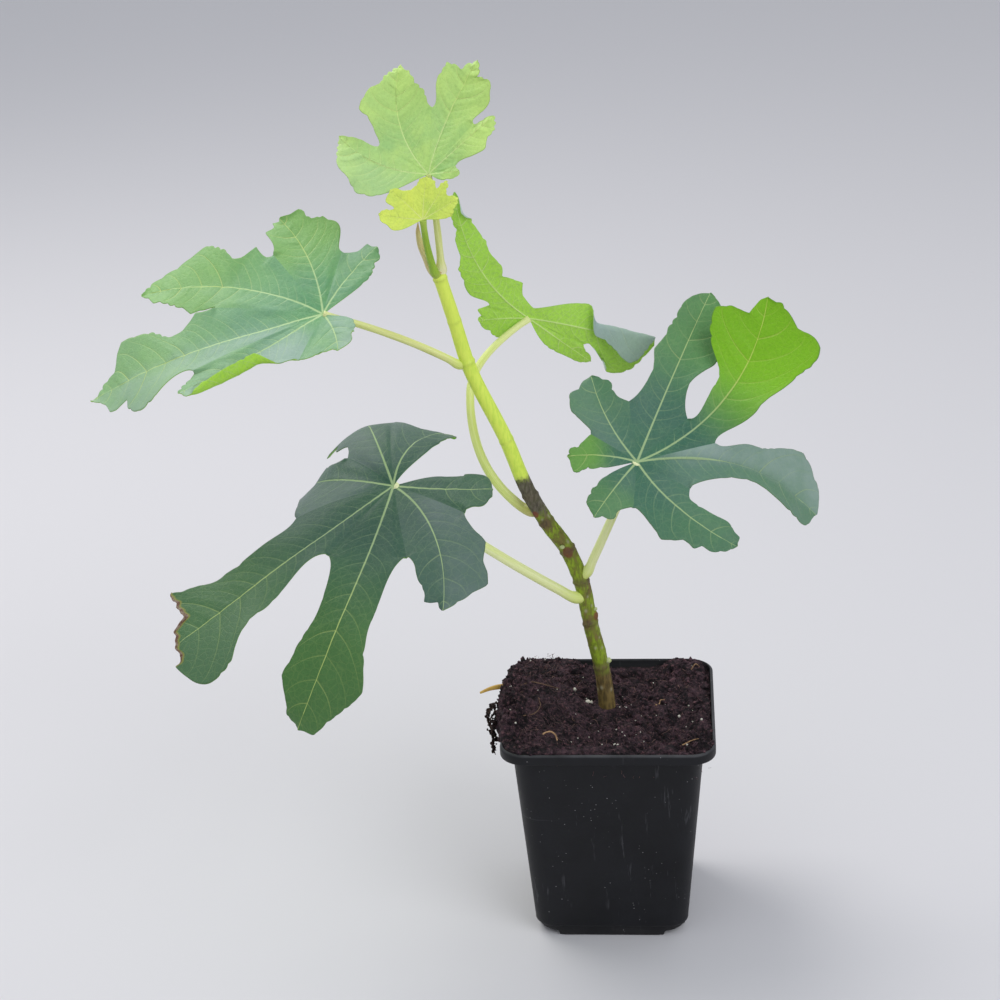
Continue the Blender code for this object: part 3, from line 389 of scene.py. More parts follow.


# bloom tones are waxy bloom together with a painted sheen
darkTones = dict(blade=(0.034, 0.112, 0.062), lit=(0.075, 0.215, 0.020), vein=(0.40, 0.55, 0.26),
                 bloom=(0.20, 0.25, 0.255), below=(0.15, 0.27, 0.10), belowVein=(0.36, 0.50, 0.20),
                 edge=(0.10, 0.20, 0.05))
leaves = {
    "leafRight": dict(
        node="leaf_right", stalkEnd=(13.6, -2.0, 208.9), face=12, faceUp=48, spin=27, reach=80, seed=11,
        step=0.62, thin=0.34, veinScale=1.0, toothGap=6.5, toothDepth=0.6, pillow=0.32, wave=0.9, sideForce=0.46,
        tones=dict(darkTones, blade=(0.043, 0.160, 0.088), lit=(0.22, 0.53, 0.002), bloom=(0.30, 0.40, 0.36)),
        lobes=(
            lobe(-147, 8, 33.0, (0.66, 10.5, 7.0), (0.84, 6.0, 6.4), 0.6, 25, 8, 0.22, 0.15,
                 left=((0.55, 0.2, 1.5), (0.8, 0.12, -1.0))),
            lobe(-81, 39, 55.5, (0.51, 6.4, 15.0), (0.83, 7.3, 7.2), 0.7, 25, 6, 0.10, 0.15,
                 left=((0.9, 0.08, 1.5),), right=((0.35, 0.08, 1.6), (0.62, 0.08, 1.8), (0.52, 0.08, -1.2))),
            lobe(-8, -38, 86.0, (0.55, 10.0, 6.4), (0.78, 19.5, 10.5), 1.9, 50, 6, 0.10, 0.85, 13.0,
                 left=((0.60, 0.12, 2.5), (0.74, 0.1, -1.5)), right=((0.86, 0.1, 1.5),)),
            lobe(5, 54, 93.0, (0.54, 7.0, 15.0), (0.78, 20.0, 27.0), 0.9, -35, 2, 1.0, 0.0,
                 left=((0.71, 0.13, 4.5), (0.87, 0.09, -4.2)),
                 right=((0.64, 0.12, 3.0), (0.78, 0.09, -2.4), (0.92, 0.06, 1.4), (0.5, 0.1, -1.5))),
            lobe(50, -2, 87.0, (0.46, 8.8, 7.8), (0.64, 9.9, 13.7), 1.0, 15, 8, 0.26, 0.10,
                 left=((0.42, 0.14, 2.2), (0.68, 0.1, -1.0)), right=((0.5, 0.12, 1.5),)),
            lobe(113, -30, 42.5, (0.60, 11.1, 11.7), (0.77, 12.3, 7.2), 1.2, 15, 8, 0.12, 0.26,
                 left=((0.75, 0.14, -2.0), (0.35, 0.16, 1.6)), right=((0.6, 0.12, 1.5),)),
            lobe(149, 26, 29.5, (0.61, 6.0, 10.0), (0.88, 6.8, 4.0), 0.5, 25, 8, 0.5, 0.05,
                 left=((0.8, 0.14, 1.5),), right=((0.55, 0.12, -1.2),)),
        ),
        gaps=((-115, 22.3), (-49, 24.5), (-3, 33.6), (24, 28.9), (78, 26.7), (132, 22.0)),
    ),
    "leafLeftLower": dict(
        node="leaf_left_lower", stalkEnd=(-85.8, -14.0, 204.2), face=-10, faceUp=66, spin=215, reach=95, seed=23,
        step=0.68, thin=0.36, veinScale=1.05, toothGap=9.0, toothDepth=0.6, pillow=0.32, wave=1.1, sideForce=0.36,
        tones=dict(darkTones, below=(0.24, 0.54, 0.05)),
        lobes=(
            lobe(-133, -58, 46.0, (0.50, 9.0, 8.0), (0.74, 7.0, 8.0), 0.6, 235, 20, 0.05, 0.35, 2.0),
            lobe(-106, -2, 60.0, (0.54, 12.0, 13.5), (0.70, 18.0, 12.0), 1.5, 200, 21, 0.05, 0.60, 2.0,
                 left=((0.60, 0.10, 10.5), (0.47, 0.1, -2.5))),
            lobe(-46, -36, 60.0, (0.50, 8.0, 8.0), (0.75, 10.0, 10.0), 1.0, 190, 6, 0.0, 0.55),
            lobe(12, -21, 118.0, (0.66, 13.0, 13.0), (0.88, 25.0, 23.0), 1.5, 22, 4, 0.42, 0.10,
                 left=((0.6, 0.1, 1.5),), right=((0.42, 0.08, 1.2), (0.62, 0.08, -1.5))),
            lobe(48, -33, 117.0, (0.56, 12.3, 10.6), (0.76, 18.7, 14.0), 1.0, 50, 6, 0.62, 0.03,
                 left=((0.62, 0.1, 2.2), (0.78, 0.08, -1.0), (0.92, 0.07, 2.6)),
                 right=((0.7, 0.1, 1.6), (0.9, 0.06, 1.8))),
            lobe(99, -50, 69.0, (0.62, 16.5, 13.8), (0.73, 18.0, 10.7), 0.8, 60, 6, 0.05, 0.50,
                 left=((0.3, 0.12, 2.4), (0.62, 0.12, 2.6), (0.45, 0.1, -1.6)),
                 right=((0.72, 0.12, 2.6), (0.86, 0.08, -1.6))),
            lobe(124, 20, 42.5, (0.50, 7.0, 6.0), (0.86, 8.5, 10.0), 1.9, 40, 6, 0.10, 0.15,
                 right=((0.78, 0.12, 1.5),)),
        ),
        gaps=((-121, 44.0), (-78, 28.0), (-20, 42.0), (21, 43.9), (65, 41.1), (112, 36.0)),
        bite=dict(lobe=3, share=1.305, side=-27.0, radius=50.0),
    ),
    "leafLeftUpper": dict(
        node="leaf_left_upper", stalkEnd=(-111.4, -4.0, 275.0), face=-12, faceUp=55, spin=190, reach=85, seed=37,
        step=0.62, thin=0.34, veinScale=0.9, toothGap=5.5, toothDepth=0.75, pillow=0.5, wave=1.2, sideForce=0.8,
        tones=dict(blade=(0.165, 0.405, 0.155), lit=(0.30, 0.58, 0.09), vein=(0.52, 0.72, 0.34),
                   bloom=(0.40, 0.52, 0.47), below=(0.40, 0.72, 0.035), belowVein=(0.46, 0.62, 0.24),
                   edge=(0.24, 0.42, 0.08)),
        lobes=(
            lobe(-130, -18, 37.5, (0.66, 8.7, 8.3), (0.86, 5.5, 5.2), 0.6, 20, 6, 0.15, 0.25,
                 left=((0.7, 0.15, 1.5),)),
            lobe(-98, 34, 54.0, (0.68, 11.9, 18.0), (0.88, 9.0, 9.0), 0.5, 15, 8, 0.55, 0.08,
                 left=((0.6, 0.12, 2.0), (0.85, 0.08, 2.0)), right=((0.55, 0.1, 1.6), (0.8, 0.1, 1.6))),
            lobe(-47, 40, 82.0, (0.50, 9.6, 15.5), (0.65, 11.4, 18.0), 0.6, 20, 8, 0.55, 0.22,
                 left=((0.3, 0.1, 2.0), (0.75, 0.1, 1.2)),
                 right=((0.13, 0.08, 5.0), (0.25, 0.09, -3.2), (0.47, 0.12, 2.6), (0.7, 0.1, -1.2))),
            lobe(2, -7, 105.0, (0.55, 13.5, 13.0), (0.72, 16.8, 18.0), 0.3, 25, 6, 0.45, 0.60,
                 left=((0.5, 0.1, 2.0), (0.66, 0.06, -4.5), (0.76, 0.08, 2.5)),
                 right=((0.12, 0.12, 4.5), (0.32, 0.12, -2.4), (0.62, 0.12, 4.0), (0.78, 0.1, -3.4))),
            lobe(24, -11, 66.5, (0.62, 10.0, 2.5), (0.85, 9.5, 5.0), 0.8, 10, 6, 0.25, 0.75,
                 roll=(1, 4.0, 1.5, 155, 1, 0.19)),
            lobe(112, -30, 23.0, (0.50, 9.0, 13.0), (0.80, 6.5, 9.0), 1.2, 20, 6, 0.2, 0.6),
        ),
        gaps=((-117, 30.0), (-68, 37.6), (-22, 45.3), (11, 56.7), (58, 25.0)),
    ),
    "leafBack": dict(
        node="leaf_back", stalkEnd=(-31.6, 42.0, 257.0), face=190, faceUp=8, spin=25, reach=60, seed=41,
        step=0.5, thin=0.3, veinScale=0.7, toothGap=4.6, toothDepth=0.6, pillow=0.32, wave=0.9, sideForce=0.5,
        # the under side's bright yellow green is painted light shining through the blade, and the pale bloom tone is a
        # painted sheen over waxy bloom
        tones=dict(blade=(0.20, 0.33, 0.25), lit=(0.27, 0.50, 0.04), vein=(0.50, 0.62, 0.46),
                   bloom=(0.70, 0.79, 0.77), below=(0.42, 0.76, 0.065), belowVein=(0.60, 0.80, 0.26),
                   edge=(0.30, 0.48, 0.12)),
        lobes=(
            lobe(-146, -12, 21.5, (0.65, 8.0, 8.6), (0.85, 5.6, 4.8), 0.6, -10, 0, 0.2, 0.5,
                 left=((0.5, 0.15, 1.6), (0.75, 0.12, -1.2))),
            lobe(-115, 48, 65.0, (0.38, 8.5, 10.0), (0.64, 6.0, 4.5), 0.4, -25, 0, 0.1, 0.8,
                 left=((0.2, 0.08, 3.0), (0.33, 0.07, -2.5), (0.6, 0.1, 1.6)),
                 right=((0.4, 0.1, 1.6), (0.7, 0.08, -1.6)),
                 roll=(1, 0.6, 1.4, 165, -1, 0.56)),
            lobe(39, 13, 57.5, (0.50, 8.0, 11.0), (0.80, 17.5, 17.0), 1.2, -10, 0, 0.1, 0.9,
                 left=((0.45, 0.1, 2.0),), right=((0.7, 0.12, 2.0),), roll=(-1, 2.2, 1.8, 168, -1, 0.2)),
            lobe(68, -2, 34.5, (0.45, 5.5, 2.5), (0.80, 4.0, 3.5), 1.0, 5, 0, 0.2, 0.5),
        ),
        gaps=((-130, 18.0), (-40, 5.0), (58, 27.0)),
    ),
    "leafTop": dict(
        node="leaf_top", stalkEnd=(-66.8, 4.0, 329.6), face=-8, faceUp=40, spin=60, reach=45, seed=53,
        step=0.42, thin=0.28, veinScale=0.62, toothGap=4.2, toothDepth=0.9, pillow=1.1, wave=0.9, sideForce=0.85,
        tones=dict(blade=(0.55, 0.82, 0.215), lit=(0.66, 0.90, 0.19), vein=(0.68, 0.86, 0.34),
                   bloom=(0.48, 0.66, 0.38), below=(0.26, 0.50, 0.08), belowVein=(0.46, 0.62, 0.20),
                   edge=(0.38, 0.56, 0.12)),
        lobes=(
            lobe(-74, 8, 13.0, (0.50, 2.0, 3.0), (0.80, 2.0, 2.5), 0.8, 10, 10, 0.3, 0.1),
            lobe(-31, -1, 34.5, (0.62, 3.5, 8.2), (0.85, 2.5, 5.2), 0.6, 10, 14, 0.4, 0.1,
                 right=((0.5, 0.1, 1.2),)),
            lobe(7, -22, 49.0, (0.55, 7.6, 11.8), (0.73, 10.5, 14.3), 0.4, 0, 14, 0.45, 0.10, 10.0,
                 left=((0.6, 0.12, 2.4), (0.78, 0.1, -2.4)), right=((0.6, 0.1, 1.6), (0.78, 0.1, -2.6))),
            lobe(67, -62, 48.5, (0.50, 10.5, 14.5), (0.66, 13.6, 12.9), 0.4, 5, 14, 0.45, 0.10, 10.0,
                 left=((0.4, 0.1, 1.6), (0.72, 0.1, -1.6)), right=((0.55, 0.1, -1.5), (0.8, 0.08, 1.2))),
            lobe(114, -52, 41.0, (0.52, 15.0, 7.8), (0.72, 10.5, 5.5), 0.4, 10, 12, 0.25, 0.35),
        ),
        gaps=((-58, 11.5), (-24, 26.5), (18, 26.7), (81, 23.0)),
    ),
    "leafYoung": dict(
        node="leaf_young", stalkEnd=(-68.6, -8.0, 314.4), face=-5, faceUp=28, spin=85, reach=20, seed=67,
        step=0.28, thin=0.24, veinScale=0.4, toothGap=2.1, toothDepth=0.42, pillow=0.6, wave=0.4, sideForce=0.45,
        tones=dict(blade=(0.80, 0.95, 0.13), lit=(0.88, 0.97, 0.13), vein=(0.82, 0.88, 0.30),
                   bloom=(0.50, 0.62, 0.16), below=(0.42, 0.60, 0.08), belowVein=(0.56, 0.70, 0.22),
                   edge=(0.52, 0.64, 0.12)),
        lobes=(
            lobe(-66, 0, 16.5, (0.68, 3.2, 4.9), (0.86, 2.6, 2.4), 0.6, 5, 10, 0.3, 0.0, 8.0),
            lobe(-38, 0, 18.0, (0.72, 2.3, 3.1), (0.86, 1.6, 1.7), 0.5, 5, 10, 0.3, 0.0, 8.0),
            lobe(-5, -10, 17.0, (0.70, 4.5, 5.0), (0.87, 3.0, 3.9), 0.6, 5, 10, 0.3, 0.0, 8.0),
            lobe(41, 4, 17.5, (0.64, 4.8, 4.9), (0.86, 5.0, 2.4), 0.6, 5, 10, 0.3, 0.0, 8.0),
            lobe(83, -8, 17.6, (0.61, 5.5, 3.6), (0.84, 3.4, 2.4), 0.8, 5, 10, 0.3, 0.0, 8.0),
        ),
        gaps=((-51, 13.6), (-29, 13.4), (18, 12.6), (65, 12.2)),
    ),
}
# how a margin leaves its notch and runs into the tip, how rows crowd toward the tip, how far lobes are joined,
# and how the blade bends along a ray; they are the solid leaves' own values
leafRule = dict(notchAngle=26, leave=(0.8, 0.35), tipAlong=0.45, past=0.06, steps=60, crowd=1.15,
                joined=(0.2, 0.62), bendPower=1.5, bendSteps=12, freeShare=0.3, innerRows=34,
                # how far in a roll begins before its start and how long it takes to reach its line
                rollIn=26.0, rollEase=0.32,
                # side veins: their forward lean, their gap in the neck, its growth in the belly, its loss at the tip
                sideLean=0.45, sideGap=4.6, bellyGap=5.4, tipGap=2.6,
                # how high main and side veins stand, on top (sunk) and below
                mainRelief=(-0.10, 0.95), sideRelief=(-0.05, 0.16))


def veinLine(one, s):
    # the main vein leaves at its angle and turns evenly by its turn over its length
    bend = math.radians(one["turn"] if abs(one["turn"]) > 0.1 else 0.1) / one["length"]
    start = math.radians(one["angle"])
    way = start + bend * s
    at = np.stack([(np.sin(way) - math.sin(start)) / bend, (math.cos(start) - np.cos(way)) / bend], -1)
    return at, np.stack([np.cos(way), np.sin(way)], -1)


def margin(one, side, gap):
    # one edge of a lobe: cubics from its notch past its neck and belly to its tip, side 1 is left and -1 right
    rule = leafRule
    length = one["length"]
    pick = 1 if side > 0 else 2
    at, way = veinLine(one, np.array([one["neck"][0], one["belly"][0], 1.0]) * length)
    out = np.stack([-way[:, 1], way[:, 0]], -1) * side
    if gap is None:
        gap = np.zeros(2)
        leave = heading(math.radians(one["angle"] + side * rule["notchAngle"]))
    else:
        along = gap / np.linalg.norm(gap)
        leave = np.array([along[1], -along[0]]) * side * rule["leave"][0] + along * rule["leave"][1]
    stops = [(gap, leave)]
    for k, part in enumerate(("neck", "belly")):
        stop = at[k] + out[k] * one[part][pick]
        if (stop - gap) @ way[k] > rule["past"] * length:
            stops.append((stop, way[k]))
    stops.append((at[2], way[2] * rule["tipAlong"] - out[2] * one["blunt"]))
    u = np.linspace(0.0, 1.0, rule["steps"])[:, None]
    curve = [gap[None]]
    for (p0, t0), (p1, t1) in zip(stops[:-1], stops[1:]):
        far = np.linalg.norm(p1 - p0)
        curve.append(cubic(p0, p1, t0 * far, t1 * far, u)[1:])
    return np.concatenate(curve)


def byLength(curve, share):
    # points at shares of the curve's length, their distance along it, its length and the direction there
    at = lengths(curve)
    want = np.asarray(share) * at[-1]
    point, way = (np.stack([np.interp(want, at, each[:, 0]), np.interp(want, at, each[:, 1])], -1)
                  for each in (curve, np.gradient(curve, at, axis=0)))
    return point, want, at[-1], unit(way)


def toothed(point, at, total, way, side, leaf, one, startShare):
    # rounded teeth that stand out from the margin, none near the notch; their gap and depth drift along it, and
    # the lobe's own corners are added as peaks or dips with straight sides
    drift = 0.5 * np.sin(at / 6.3 + leaf["seed"] + one["angle"]) + 0.3 * np.sin(at / 2.9 + 2.0 * leaf["seed"] + side)
    tooth = 0.9 - np.abs(np.sin(math.pi * (at / leaf["toothGap"] + drift))) ** 0.7 * 1.2
    size = leaf["toothDepth"] * (0.55 + 0.45 * np.sin(at / 5.1 + leaf["seed"] * 1.7 + one["angle"])) * 1.3
    share = at / total
    move = -tooth * size * ease((share - startShare) / 0.25)
    for centre, width, height in one["left" if side > 0 else "right"]:
        move = move + height * np.clip(1.0 - np.abs(share - centre) / width, 0.0, 1.0) ** 1.25
    move = move * ease((1.0 - share) / 0.07)
    out = np.stack([way[:, 1], -way[:, 0]], -1) * -side
    return point + out * move[:, None]


def reachOf(one, gaps):
    # how far along its vein a lobe is joined to its neighbours: the vein's points nearest to its notches
    s = np.linspace(0.0, one["length"], 60)
    at = veinLine(one, s)[0]
    near = [s[np.argmin(np.linalg.norm(at - gap, axis=1))] for gap in gaps if gap is not None]
    low, high = leafRule["joined"]
    return np.clip(np.mean(near), low * one["length"], high * one["length"])


def lobeStrip(leaf, one, gaps):
    # a grid over one lobe: each row is straight, from the right margin over the vein to the left margin
    rule = leafRule
    inner = rule["innerRows"]
    length = one["length"]
    reach = reachOf(one, gaps)
    outer = int(math.ceil((length - reach) / leaf["step"]))
    half = max(8, int(math.ceil(max(one["neck"][1:] + one["belly"][1:]) / leaf["step"])))
    s = np.concatenate([np.linspace(0, reach, inner + 1), np.linspace(reach, length, outer + 1)[1:]])
    mid, way = veinLine(one, s)
    rails = []
    for side, gap in ((-1, gaps[0]), (1, gaps[1])):
        curve = margin(one, side, gap)
        if gap is None:
            rail = toothed(*byLength(curve, s / length), side, leaf, one, 0.3)
            rail[0] = 0.0
        else:
            share = 1 - (1 - np.arange(1, outer + 1) / outer) ** rule["crowd"]
            free = toothed(*byLength(curve, share), side, leaf, one, 0.15)
            rail = np.concatenate([gap * np.linspace(0, 1, inner + 1)[:, None], free])
        rail[-1] = mid[-1]
        rails.append(rail)
    share = np.linspace(0.0, 1.0, half + 1) ** 1.1
    right, left = (mid[:, None] + (rail - mid)[:, None] * share[:, None] for rail in rails)
    flat = np.concatenate([right[:, :0:-1], left], 1)
    across = np.broadcast_to(np.concatenate([-share[:0:-1], share]), flat.shape[:2])
    width = np.stack([np.linalg.norm(rail - mid, axis=1) for rail in rails], 1).repeat([half, half + 1], 1)
    off = flat - mid[:, None]
    along = s[:, None] + (off * way[:, None]).sum(-1)
    away = way[:, None, 0] * off[..., 1] - way[:, None, 1] * off[..., 0]
    # a rolled margin turns round a line beside the vein: it moves back by (move) and stands up by (height)
    move, height = np.zeros((2, *away.shape))
    if one["roll"]:
        side, start, radius, most, up, since = one["roll"]
        begin = start + rule["rollIn"] * (1.0 - ease((along / length - since) / rule["rollEase"]))
        over = np.clip(side * away - begin, 0.0, None)
        turned = np.minimum(over / radius, math.radians(most))
        rest = over - radius * turned
        move = side * (radius * np.sin(turned) + rest * np.cos(turned) - over)
        height = up * (radius * (1.0 - np.cos(turned)) + rest * np.sin(turned))
    shift = np.stack([-way[:, None, 1] * move, way[:, None, 0] * move, height], -1)
    return flat, s, across, width, along, away, shift


def strandCount(one, leaf, foot):
    # how many side veins leave the main vein before a point: close in the neck, wider apart in the belly
    rule = leafRule
    length = one["length"]
    s = np.linspace(-0.3 * length, 1.2 * length, 400)
    wide = ease((s / length - one["neck"][0] + 0.12) / 0.2)
    late = ease((s / length - 0.85) / 0.15)
    gap = leaf["veinScale"] * (rule["sideGap"] + rule["bellyGap"] * wide - rule["tipGap"] * late)
    count = np.concatenate([[0.0], np.cumsum(np.diff(s) / gap[1:])])
    return (np.interp(foot, s, each) for each in (count, gap, wide))


def leafAxes(leaf):
    # columns: the lobes' zero direction, the direction to its left and the way the blade looks
    side = math.radians(leaf["face"])
    up = math.radians(leaf["faceUp"])
    spin = math.radians(leaf["spin"])
    look = np.array([math.sin(side) * math.cos(up), -math.cos(side) * math.cos(up), math.sin(up)])
    flat = np.cross([0.0, 1.0, 0.0], look)
    flat /= np.linalg.norm(flat)
    first = flat * math.cos(spin) + np.cross(look, flat) * math.sin(spin)
    return np.stack([first, np.cross(look, first), look], 1)


def roundLeaf(turn, angles, values):
    # a value given per lobe, eased from lobe to lobe round the stalk's end
    a = np.concatenate([[angles[-1] - 360.0], angles, [angles[0] + 360.0]])
    v = np.concatenate([[values[-1]], values, [values[0]]])
    turn = (turn - a[1]) % 360.0 + a[1]
    k = np.clip(np.searchsorted(a, turn, side="right") - 1, 0, len(a) - 2)
    return v[k] + (v[k + 1] - v[k]) * ease((turn - a[k]) / (a[k + 1] - a[k]))


def bendLeaf(leaf, flat, height, owner, ways, freeFrom):
    # each ray from the stalk's end rises by its lobe's rise and droops more and more toward its tip;
    # past its notches a lobe keeps its own rise and droop, nearer in they ease round the leaf
    rule = leafRule
    r = np.linalg.norm(flat, axis=1) + 1e-9
    turn = np.degrees(np.arctan2(flat[:, 1], flat[:, 0]))
    own = ease((r - freeFrom[owner]) / (rule["freeShare"] * leaf["reach"]))
    bends = []
    for key in ("droop", "rise"):
        values = np.array([one[key] for one in leaf["lobes"]], float)
        shared = roundLeaf(turn, ways, values)
        bends.append(shared + (values[owner] - shared) * own)
    part = (np.arange(rule["bendSteps"])[:, None] + 0.5) / rule["bendSteps"]
    slope = np.radians(bends[1] - bends[0] * (r * part / leaf["reach"]) ** rule["bendPower"])
    out, up = heading(slope).mean(0).T
    local = np.stack([flat[:, 0] * out, flat[:, 1] * out, up * r + height], 1)
    return local @ leafAxes(leaf).T + np.array(leaf["stalkEnd"])


def pointNormals(points, corners, sizes):
    # the sum of the face normals round each point, made one long; faces have three or four corners
    starts = faceStarts(sizes)
    a, b, c, d = (corners[at] for at in (starts, starts + 1, starts + 2, starts + sizes - 1))
    each = np.cross(points[c] - points[a], points[d] - points[b])
    triangle = sizes == 3
    each[triangle] = np.cross(points[b] - points[a], points[c] - points[a])[triangle]
    total = np.zeros_like(points)
    for corner in (a, b, c, d):
        for axis in range(3):
            total[:, axis] += np.bincount(corner, each[:, axis], len(points))
    return unit(total)


def stripFaces(rows, columns, start):
    # quads over the grid, with triangles to the first and last row, whose points all lie in one place
    k = np.arange(1, rows - 2)[:, None] * columns
    i = np.arange(columns - 1)
    near = (rows - 2) * columns
    quads = np.stack([k + i, k + columns + i, k + columns + i + 1, k + i + 1], -1)
    low = np.stack([i, columns + i, columns + i + 1], -1)
    high = np.stack([near + i, near + columns + i, near + i + 1], -1)
    corners = np.concatenate([each.ravel() for each in (quads, low, high)]) + start
    return corners, np.repeat([4, 3], [(rows - 3) * len(i), 2 * len(i)])


def bitten(leaf, flat):
    # points near the bite's centre move out to its ragged edge; returns them and how near they are to that edge
    bite = leaf.get("bite")
    if not bite:
        return flat, np.zeros(len(flat))
    one = leaf["lobes"][bite["lobe"]]
    at, way = veinLine(one, np.array([bite["share"] * one["length"]]))
    centre = at[0] + np.array([-way[0, 1], way[0, 0]]) * bite["side"]
    off = flat - centre
    far = np.linalg.norm(off, axis=1) + 1e-9
    turn = np.arctan2(off[:, 1], off[:, 0])
    edge = bite["radius"] + 2.0 * np.sin(17 * turn + 1.0) + 0.9 * np.sin(37 * turn) + 0.4 * np.sin(83 * turn)
    new = np.where(far < edge + 6.0, np.maximum(far, edge + 0.12 * (far - edge + 6.0)), far)
    return centre + off / far[:, None] * new[:, None], np.clip(1.0 - (new - edge) / 2.2, 0.0, 1.0)


def lobeShape(leaf, n, gaps):
    # one lobe's points, how far its fold, wave and pillows lift them, its relief, and what its material reads
    rule = leafRule
    one = leaf["lobes"][n]
    scale, seed = leaf["veinScale"], leaf["seed"]
    flat, s, across, width, along, away, shift = lobeStrip(leaf, one, gaps)
    x, far, half = np.abs(across), np.abs(away), np.sign(away)
    row = s[:, None]
    share = np.clip(along / one["length"], 0.0, 1.0)
    foot = along - rule["sideLean"] * (far + width * x ** 3)
    count, gap, wide = strandCount(one, leaf, foot)
    # side veins fade toward the margin, the tip and the stalk's end, and differ in strength
    force = (0.5 + 0.5 * wide) * (1.0 - 0.55 * x) * ease((foot - 2.0 * scale) / (5.0 * scale))
    force = force * ease((1.0 - x) / 0.12) * ease((1.02 - share) / 0.08)
    force = force * (0.66 + 0.34 * np.sin(2.4 * np.round(count) + seed + n + half))
    size = scale * (0.10 + 0.36 * (1.0 - share) ** 1.3)
    # relief dies away at the line shared by two lobes
    inner = row <= s[rule["innerRows"]]
    seam = np.where(inner, ease((1.0 - x) / 0.45), 1.0)
    ridge = size * bell(far, 0.0, 1.25 * size)
    strand = scale * bell((count - np.round(count)) * gap, 0.0, 0.55 * scale) * force * seam
    top, under = (main * ridge + side * strand for main, side in zip(rule["mainRelief"], rule["sideRelief"]))
    # the blade folds along the main vein, waves at its margin and puffs up between the side veins
    lift = math.tan(math.radians(one["fold"])) * (far - 0.5 * width) * ease(row / 14.0)
    lift = lift + leaf["wave"] * x ** 2 * np.sin(along / (7.0 * scale) + seed + n + half) * ease(
        row / (0.45 * one["length"]))
    puff = 1.0 - (2.0 * np.abs(count - np.floor(count) - 0.5)) ** 2
    lift = lift + leaf["pillow"] * scale * puff * force * (1.0 - x ** 2)
    number = np.full(far.shape, n)
    spot = np.concatenate([flat, number[..., None]], -1)
    lift = lift + 0.8 * scale * cloud(spot, 26.0 * scale, seed) * ease(row / 20.0)
    lit = one["lit"] * ease((share - 0.26) / 0.44)
    # waxy bloom with painted sheen: it fades in from the lobe's foot and is strongest on the left half of the lobe
    bloom = one["bloom"] * ease((share - 0.02) / 0.25) * (0.38 + 0.62 * ease((half * x + 0.4) / 0.8))
    main = np.stack([far, size, np.where(inner, 0.0, x)], -1)
    side = np.stack([count, 0.85 * gap, force * seam], -1)
    look = np.stack([lit, bloom, np.zeros(far.shape)], -1)
    return far.shape, [each.reshape(far.size, *each.shape[2:]) for each in (
        flat, shift, number, lift * seam, top, under, main, side, look)]


def twoSides(joined, sizes, total):
    # corners of the upper side, of the under side with its faces turned round, and of a rim along the edges that
    # only one face has; then the corner that each takes its values from, and 1 for those of the under side
    begin = faceStarts(sizes)
    place = np.arange(len(joined))
    owning = np.repeat(np.arange(len(sizes)), sizes)
    local = place - begin[owning]
    back = begin[owning] + sizes[owning] - 1 - local
    after = begin[owning] + (local + 1) % sizes[owning]
    a, b = joined.astype(np.int64), joined[after].astype(np.int64)
    alone = ~np.isin(a * total + b, b * total + a)
    near, far = place[alone], after[alone]
    rim = np.stack([joined[far], joined[near], joined[near] + total, joined[far] + total], -1)
    corners = np.concatenate([joined, joined[back] + total, rim.ravel()])
    source = np.concatenate([place, back, np.stack([far, near, near, far], -1).ravel()])
    below = np.concatenate([np.zeros(len(place)), np.ones(len(place)), np.tile([0.0, 0.0, 1.0, 1.0], len(rim))])
    return corners, np.concatenate([sizes, sizes, np.full(len(rim), 4)]), source, below


def makeLeaf(name, leaf):
    # strips for all lobes in one plane, joined along the lines to the notches, bent, folded and waved, then given
    # an upper and an under side with the veins' relief
    lobes = leaf["lobes"]
    gaps = [None, *(heading(math.radians(angle)) * far for angle, far in leaf["gaps"]), None]
    radii = [0.0, *(far for angle, far in leaf["gaps"]), 0.0]
    freeFrom = np.maximum(radii[:-1], radii[1:])
    ways = [veinLine(one, np.array([0.7 * one["length"]]))[0][0] for one in lobes]
    ways = np.unwrap([math.degrees(math.atan2(p[1], p[0])) for p in ways], period=360.0)
    strips, corners, sizes = [], [], []
    start = 0
    for n in range(len(lobes)):
        (rows, columns), values = lobeShape(leaf, n, gaps[n:n + 2])
        faces, counts = stripFaces(rows, columns, start)
        strips.append(values)
        corners.append(faces)
        sizes.append(counts)
        start += rows * columns
    flat, shift, owner, lift, top, under, main, side, look = (np.concatenate(each) for each in zip(*strips))
    corners, sizes = np.concatenate(corners), np.concatenate(sizes)
    flat, look[:, 2] = bitten(leaf, flat)
    # points in the same place become one
    first, weld = np.unique(np.round(flat * 1e4).astype(np.int64), axis=0, return_index=True, return_inverse=True)[1:]
    weld = weld.ravel()
    points = bendLeaf(leaf, flat + shift[:, :2], shift[:, 2], owner, ways, freeFrom)[first]
    lift, top, under = (np.bincount(weld, each) / np.bincount(weld) for each in (lift, top, under))
    joined = weld[corners]
    points = points + pointNormals(points, joined, sizes) * lift[:, None]
    normal = pointNormals(points, joined, sizes)
    half = leaf["thin"] / 2
    upper = points + normal * (half + top)[:, None]
    lower = points - normal * (half + under)[:, None]
    allCorners, allSizes, source, below = twoSides(joined, sizes, len(points))
    source = corners[source]
    data = {"uvFlat": flat[source] / 200.0 + 0.5, "mainVein": main[source], "sideVein": side[source],
            "looks": look[source], "underSide": below}
    material = leafMaterial(name + "Skin", leaf["tones"], 0.2 * leaf["veinScale"] + 0.03, leaf["sideForce"])
    addMesh(name, np.concatenate([upper, lower]), allCorners, allSizes, material, [leaf["node"]], data)
    print(name, "made of", int((allSizes - 2).sum()), "triangles")


for name, leaf in leaves.items():
    makeLeaf(name, leaf)


# Stem

